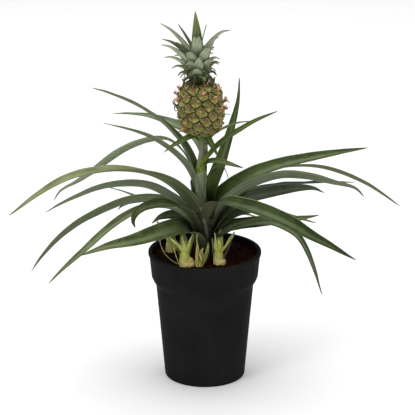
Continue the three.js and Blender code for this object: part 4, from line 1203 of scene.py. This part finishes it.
crown = {
    "core": [(324.5, 9.4), (331, 10.6), (342, 9.8), (353, 8.0), (363, 5.8), (372, 3.0)],
    "rootDepth": 3, "sides": 32, "twist": 38, "stations": (0, 0.33, 0.7, 1),
    # the leaves' gutter in degrees, and by how much it is flatter on those that face the viewer
    "gutter": 40, "flatter": 26,
    "style": {"steps": 18, "across": 9, "thickness": 0.9, "narrowing": 0.95, "fullness": 1.6, "flare": 0.0,
              "waist": 0.0, "wave": 0.6},
    # heights of root and tip, reach, bow over the straight line, width, tone and azimuths
    "tiers": [
        (327, 322, 17, 4, 8, "crownLow", [180, 214, 232, 306, 338, 30, 110]),
        (328, 326, 18, 5, 10, "crownLow", [254]),
        (329, 331, 22, 4, 11, "crownFresh", [288]),
        (330, 331, 22, 5, 9, "crownLow", [184, 207, 258, 311, 68]),
        (330, 331, 19, 5, 9, "crownDark", [2]),
        (331, 335, 22, 7, 12, "crownLow", [238, 302]),
        (332, 340, 28, 6, 10, "crownLow", [190, 235, 110]),
        (331, 344, 21, 3, 15, "crown", [264]),
        (332, 340, 25, 6, 12, "crownLow", [318]),
        (333, 345, 23, 6, 10, "crownShade", [342, 356]),
        (335, 351, 35, 6, 12, "crown", [184]),
        (336, 349, 27, 7, 13, "crown", [240]),
        (336, 356, 21, 3, 15, "crown", [274]),
        (335, 349, 28, 6, 11, "crownShade", [150, 88]),
        (337, 350, 24, 6, 12, "crown", [318, 48]),
        (339, 351, 25, 6, 11, "crown", [338]),
        (340, 366, 38, 6, 13, "crown", [192]),
        (341, 361, 31, 8, 15, "crown", [246]),
        (340, 360, 34, 8, 14, "crownShade", [137]),
        (343, 359, 21, 5, 12, "crownShade", [30]),
        (344, 365, 31, 8, 15, "crown", [303]),
        (346, 370, 36, 5, 13, "crownShade", [180]),
        (347, 377, 30, 6, 14, "crown", [318]),
        (348, 364, 33, 6, 14, "crown", [85]),
        (350, 378, 35, 8, 16, "crown", [8]),
        (351, 385, 38, 5, 15, "crown", [170]),
        (351, 379, 34, 10, 17, "crown", [270]),
        (357, 384, 21, 1, 16, "crownShade", [155]),
        (359, 384, 12, 2, 5, "crown", [30]),
        (358, 398.4, 1.6, 0, 19, "crownFresh", [118]),
    ],
}


def crownCourse(root, tip, reach, bow):
    start = between(crown["core"], root) - crown["rootDepth"]
    return [(start + (reach - start) * s, root + (tip - root) * s + bow * 4 * s * (1 - s))
            for s in crown["stations"]]


def makeCrown():
    profile = [(0, crown["core"][0][0]), *[(r, z) for z, r in crown["core"]], (0, crown["core"][-1][0] + 2)]
    core = smooth(turnedMesh("crownCore", profile, crown["sides"], lean=True), leafMaterials["crownDark"])
    core.attributes.new("leafShade", "FLOAT", "FACE").data.foreach_set("value", np.ones(len(core.polygons)))
    blades = [core]
    for root, tip, reach, bow, width, tone, azimuths in crown["tiers"]:
        for azimuth in azimuths:
            twist = -crown["twist"] * math.cos(math.radians(azimuth))
            toViewer = max(0.0, -math.sin(math.radians(azimuth)))
            row = {"azimuth": azimuth, "width": width, "roll": (twist, twist), "seed": len(blades) * 2.3,
                   "gutter": crown["gutter"] - crown["flatter"] * toViewer,
                   "course": crownCourse(root, tip, reach, bow)}
            blades.append(growBlade(row, crown["style"], leafMaterials[tone], lean=True))
    return joined(blades)


addPiece("fruitCrown", makeCrown(), "crown", "crown")
print("crown")


# Young shoots

shootStyle = {"steps": 18, "across": 9, "thickness": 0.8, "narrowing": 0.9, "fullness": 2.6, "flare": 0.2,
              "waist": 0.0, "wave": 0.5, "gutter": 35}
# foot: where the blades' courses start; bulbs: x, y, radius, height and tone
shootRows = {
    "shoot_left": {"foot": (-20.5, -30), "tone": "shoot",
                   "bulbs": [(-20.8, -30, 5.6, 27, "shoot"), (-14.9, -31.5, 3.7, 9, "dry")], "blades": [
        {"azimuth": 205, "width": 9, "gutter": 50, "roll": (0, 20),
         "course": [(1.8, 146), (4.2, 151), (7.5, 156), (12, 161), (17, 167)]},
        {"azimuth": 262, "sweep": -90, "width": 8, "gutter": 50,
         "course": [(1.5, 147), (3.8, 152), (3.8, 157), (3, 163), (3, 168)]},
        {"azimuth": 318, "sweep": 40, "width": 9, "gutter": 50,
         "course": [(1.5, 146), (4, 151), (4.8, 156), (5.8, 162), (8, 169)]},
        {"azimuth": 150, "width": 9, "course": [(2, 138), (5, 145), (9, 153), (14, 160), (20, 166)]},
        {"azimuth": 98, "width": 11, "course": [(1, 140), (5, 147), (10, 154), (17, 160), (25, 164)]},
        {"azimuth": 62, "width": 8, "course": [(2, 138), (5, 146), (10, 153), (16, 159), (22, 164)]},
        {"azimuth": 196, "width": 2.6, "course": [(5, 134), (8, 140), (11, 149), (13, 160)]},
        {"azimuth": 171, "width": 2.4, "course": [(3, 134), (12, 137), (21, 145), (26, 156), (27, 166)]}]},
    "shoot_right": {"foot": (14.8, -24), "tone": "shoot",
                    "bulbs": [(14.8, -24, 5.4, 26, "shoot"), (17.8, -25.5, 3.2, 8, "dry")], "blades": [
        {"azimuth": 222, "sweep": -60, "width": 9, "gutter": 50,
         "course": [(1.8, 145), (4.2, 150), (4.4, 156), (3.8, 162), (4.5, 168)]},
        {"azimuth": -40, "sweep": 70, "width": 10, "gutter": 50,
         "course": [(1.8, 145), (4.6, 149), (7.8, 154), (12, 160), (19, 166)]},
        {"azimuth": 84, "width": 9, "course": [(1, 140), (4, 147), (9, 154), (15, 160), (22, 164)]},
        {"azimuth": -12, "sweep": 40, "width": 3, "tone": "brown", "shade": 1.3,
         "course": [(4.6, 134), (6.5, 141), (10, 149), (14, 158), (19, 165)]},
        {"azimuth": -30, "sweep": 20, "width": 2.4, "tone": "brown", "shade": 1.6,
         "course": [(4.4, 134), (6, 141), (8, 148), (11, 156), (14, 163)]},
        {"azimuth": 150, "width": 3, "course": [(4, 134), (6, 142), (7, 151), (8, 161)]}]},
    "shoot_front_dry": {"foot": (-6, -33), "tone": "dry", "bulbs": [(-5.6, -33, 2.2, 8, "dry")], "blades": [
        {"azimuth": 235, "sweep": -20, "width": 4.4, "gutter": 60,
         "course": [(4, 131), (4.2, 140), (3.6, 150), (2, 160)]},
        {"azimuth": 205, "width": 4.6, "roll": (0, 150),
         "course": [(1, 135), (2.4, 142), (0.6, 149), (2.6, 157)]},
        {"azimuth": 330, "width": 5, "roll": (60, -60),
         "course": [(1, 135), (3.6, 141), (1.6, 148), (4.6, 155)]},
        {"azimuth": 20, "width": 4.4, "roll": (0, 90),
         "course": [(1, 133), (4, 138), (5, 143), (3, 149), (5, 154)]},
        {"azimuth": 10, "width": 6.5, "gutter": 50, "tone": "shoot",
         "course": [(3, 133), (5.5, 141), (8, 150), (10, 160)]},
        {"azimuth": 32, "width": 2.6, "course": [(4, 134), (8, 139), (11, 147), (12, 156)]},
        {"azimuth": 140, "width": 3.2, "roll": (0, 60),
         "course": [(1, 150), (2, 157), (3, 163), (2.4, 169)]}]},
    "shoot_back_left": {"foot": (-36, 14), "tone": "shoot",
                        "bulbs": [(-36, 14, 5.5, 18, "shoot")], "blades": [
        {"azimuth": 250, "width": 9, "course": [(2, 136), (4, 148), (6, 160), (8, 168)]},
        {"azimuth": 60, "width": 9, "course": [(2, 136), (4, 149), (9, 157), (14, 164)]},
        {"azimuth": 150, "width": 8, "course": [(2, 136), (5, 149), (12, 158), (19, 166)]}]},
}
bulb = {
    "sides": 64, "rings": 60, "blur": (-1.5, -0.7, 0, 0.7, 1.5),
    # the foot in millimetres over the ground, the body in shares of the height; beside each, the radius
    "foot": [(-18, 0.6), (-6, 0.8), (2, 1)], "body": [(0.35, 0.9), (0.7, 0.8), (0.9, 0.66), (1, 0.25)],
    # overlapping scales: how many, first height, how far apart, how much they slant and stand out
    "scales": 4, "scaleFoot": 2, "scaleStep": 5, "scaleSlant": 3.5, "scaleTurn": 2.1, "scaleThick": 0.6,
    "scaleBlur": 0.3,
    # fine ribs: depth, how many, how they lean with the height, and their start
    "ribs": [(0.18, 9, 0.1, 0), (0.1, 23, 0, 1)],
}


def makeBulb(x0, y0, radius, height, tone):
    ground = soil["height"]
    stations = [(ground + z, radius * share) for z, share in bulb["foot"]]
    stations += [(ground + height * z, radius * share) for z, share in bulb["body"]]
    heights = np.linspace(stations[0][0], stations[-1][0], bulb["rings"])
    radii = [np.mean([between(stations, z + offset) for offset in bulb["blur"]]) for z in heights]
    profile = [(0, heights[0]), *zip(radii, heights), (0, heights[-1])]
    mesh = turnedMesh("bulb", profile, bulb["sides"], centre=(x0, y0))
    for vertex in mesh.vertices:
        x, y, z = vertex.co.x / mm - x0, vertex.co.y / mm - y0, vertex.co.z / mm
        flat = math.hypot(x, y)
        if flat < 0.3:
            continue
        azimuth = math.atan2(y, x)
        ridge = sum(depth * math.sin(azimuth * count + z * lean + start)
                    for depth, count, lean, start in bulb["ribs"])
        for k in range(bulb["scales"]):
            top = ground + bulb["scaleFoot"] + bulb["scaleStep"] * k
            top += bulb["scaleSlant"] * math.cos(azimuth - bulb["scaleTurn"] * k)
            ridge += bulb["scaleThick"] * (step(z - top, bulb["scaleBlur"]) - 0.5)
        vertex.co.x = (x0 + x * (flat + ridge) / flat) * mm
        vertex.co.y = (y0 + y * (flat + ridge) / flat) * mm
    return smooth(mesh, bulbDry if tone == "dry" else bulbGreen)


def makeShoot(row):
    blades = [growBlade({"seed": k, **blade}, shootStyle, leafMaterials[blade.get("tone", row["tone"])],
                        centre=row["foot"])
              for k, blade in enumerate(row["blades"])]
    return joined([makeBulb(*bulbRow) for bulbRow in row["bulbs"]] + blades)


for name, row in shootRows.items():
    pieceName = name.replace("shoot", "youngShoot")
    addPiece(pieceName, makeShoot(row), "dry_shoot" if row["tone"] == "dry" else "shoot", name)
print("shoots:", len(shootRows))


# Stage, light and camera

stage = {"size": 14.0, "floor": 0.9, "world": 0.62, "aim": (0, 0, 0.22)}
lights = {
    "topLight": {"place": (0.0, 0.5, 2.4), "energy": 48.0, "size": 3.0},
    "keyLight": {"place": (-1.3, -1.3, 1.8), "energy": 14.0, "size": 0.8},
    "fillLight": {"place": (1.7, -1.2, 1.0), "energy": 4.0, "size": 1.2},
}
camera = {"distance": 2100, "elevation": 18.9, "targetX": 2.9, "targetZ": 187.6, "focal": 1993, "image": 415,
          "sensor": 36.0, "near": 0.05, "far": 50}


def facing(direction):
    return direction.to_track_quat("-Z", "Y").to_euler()


def makeStage():
    half = stage["size"] / 2
    corners = [(-half, -half, 0), (half, -half, 0), (half, half, 0), (-half, half, 0)]
    floor = newObject("floor", meshFrom("floor", corners, [(0, 1, 2, 3)]))
    n = newMaterial("floorPale")
    shader = n.tree.nodes["Principled BSDF"]
    shader.inputs["Base Color"].default_value = (stage["floor"], stage["floor"], stage["floor"], 1)
    n.fill(shader, {"Roughness": 0.9, "Specular IOR Level": 0.1})
    floor.data.materials.append(n.material)
    world = bpy.data.worlds.new("studio")
    world.use_nodes = True
    sky = world.node_tree.nodes["Background"]
    sky.inputs["Color"].default_value = (1, 1, 1, 1)
    sky.inputs["Strength"].default_value = stage["world"]
    bpy.context.scene.world = world
    bpy.context.scene.view_settings.view_transform = "Standard"


def addLight(name, place, energy, size):
    lamp = bpy.data.lights.new(name, "AREA")
    lamp.energy, lamp.size = energy, size
    holder = newObject(name, lamp)
    holder.location = place
    holder.rotation_euler = facing(Vector(stage["aim"]) - Vector(place))


def makeCamera():
    tilt = math.radians(camera["elevation"])
    lens = bpy.data.cameras.new("camera")
    lens.sensor_width = camera["sensor"]
    lens.lens = camera["focal"] * camera["sensor"] / camera["image"]
    lens.clip_start, lens.clip_end = camera["near"], camera["far"]
    holder = newObject("camera", lens)
    target = Vector((camera["targetX"], 0, camera["targetZ"])) * mm
    back = Vector((0, -math.cos(tilt), math.sin(tilt)))
    holder.location = target + back * camera["distance"] * mm
    holder.rotation_euler = facing(-back)
    bpy.context.scene.camera = holder


makeStage()
for name, light in lights.items():
    addLight(name, **light)
makeCamera()
print("stage")
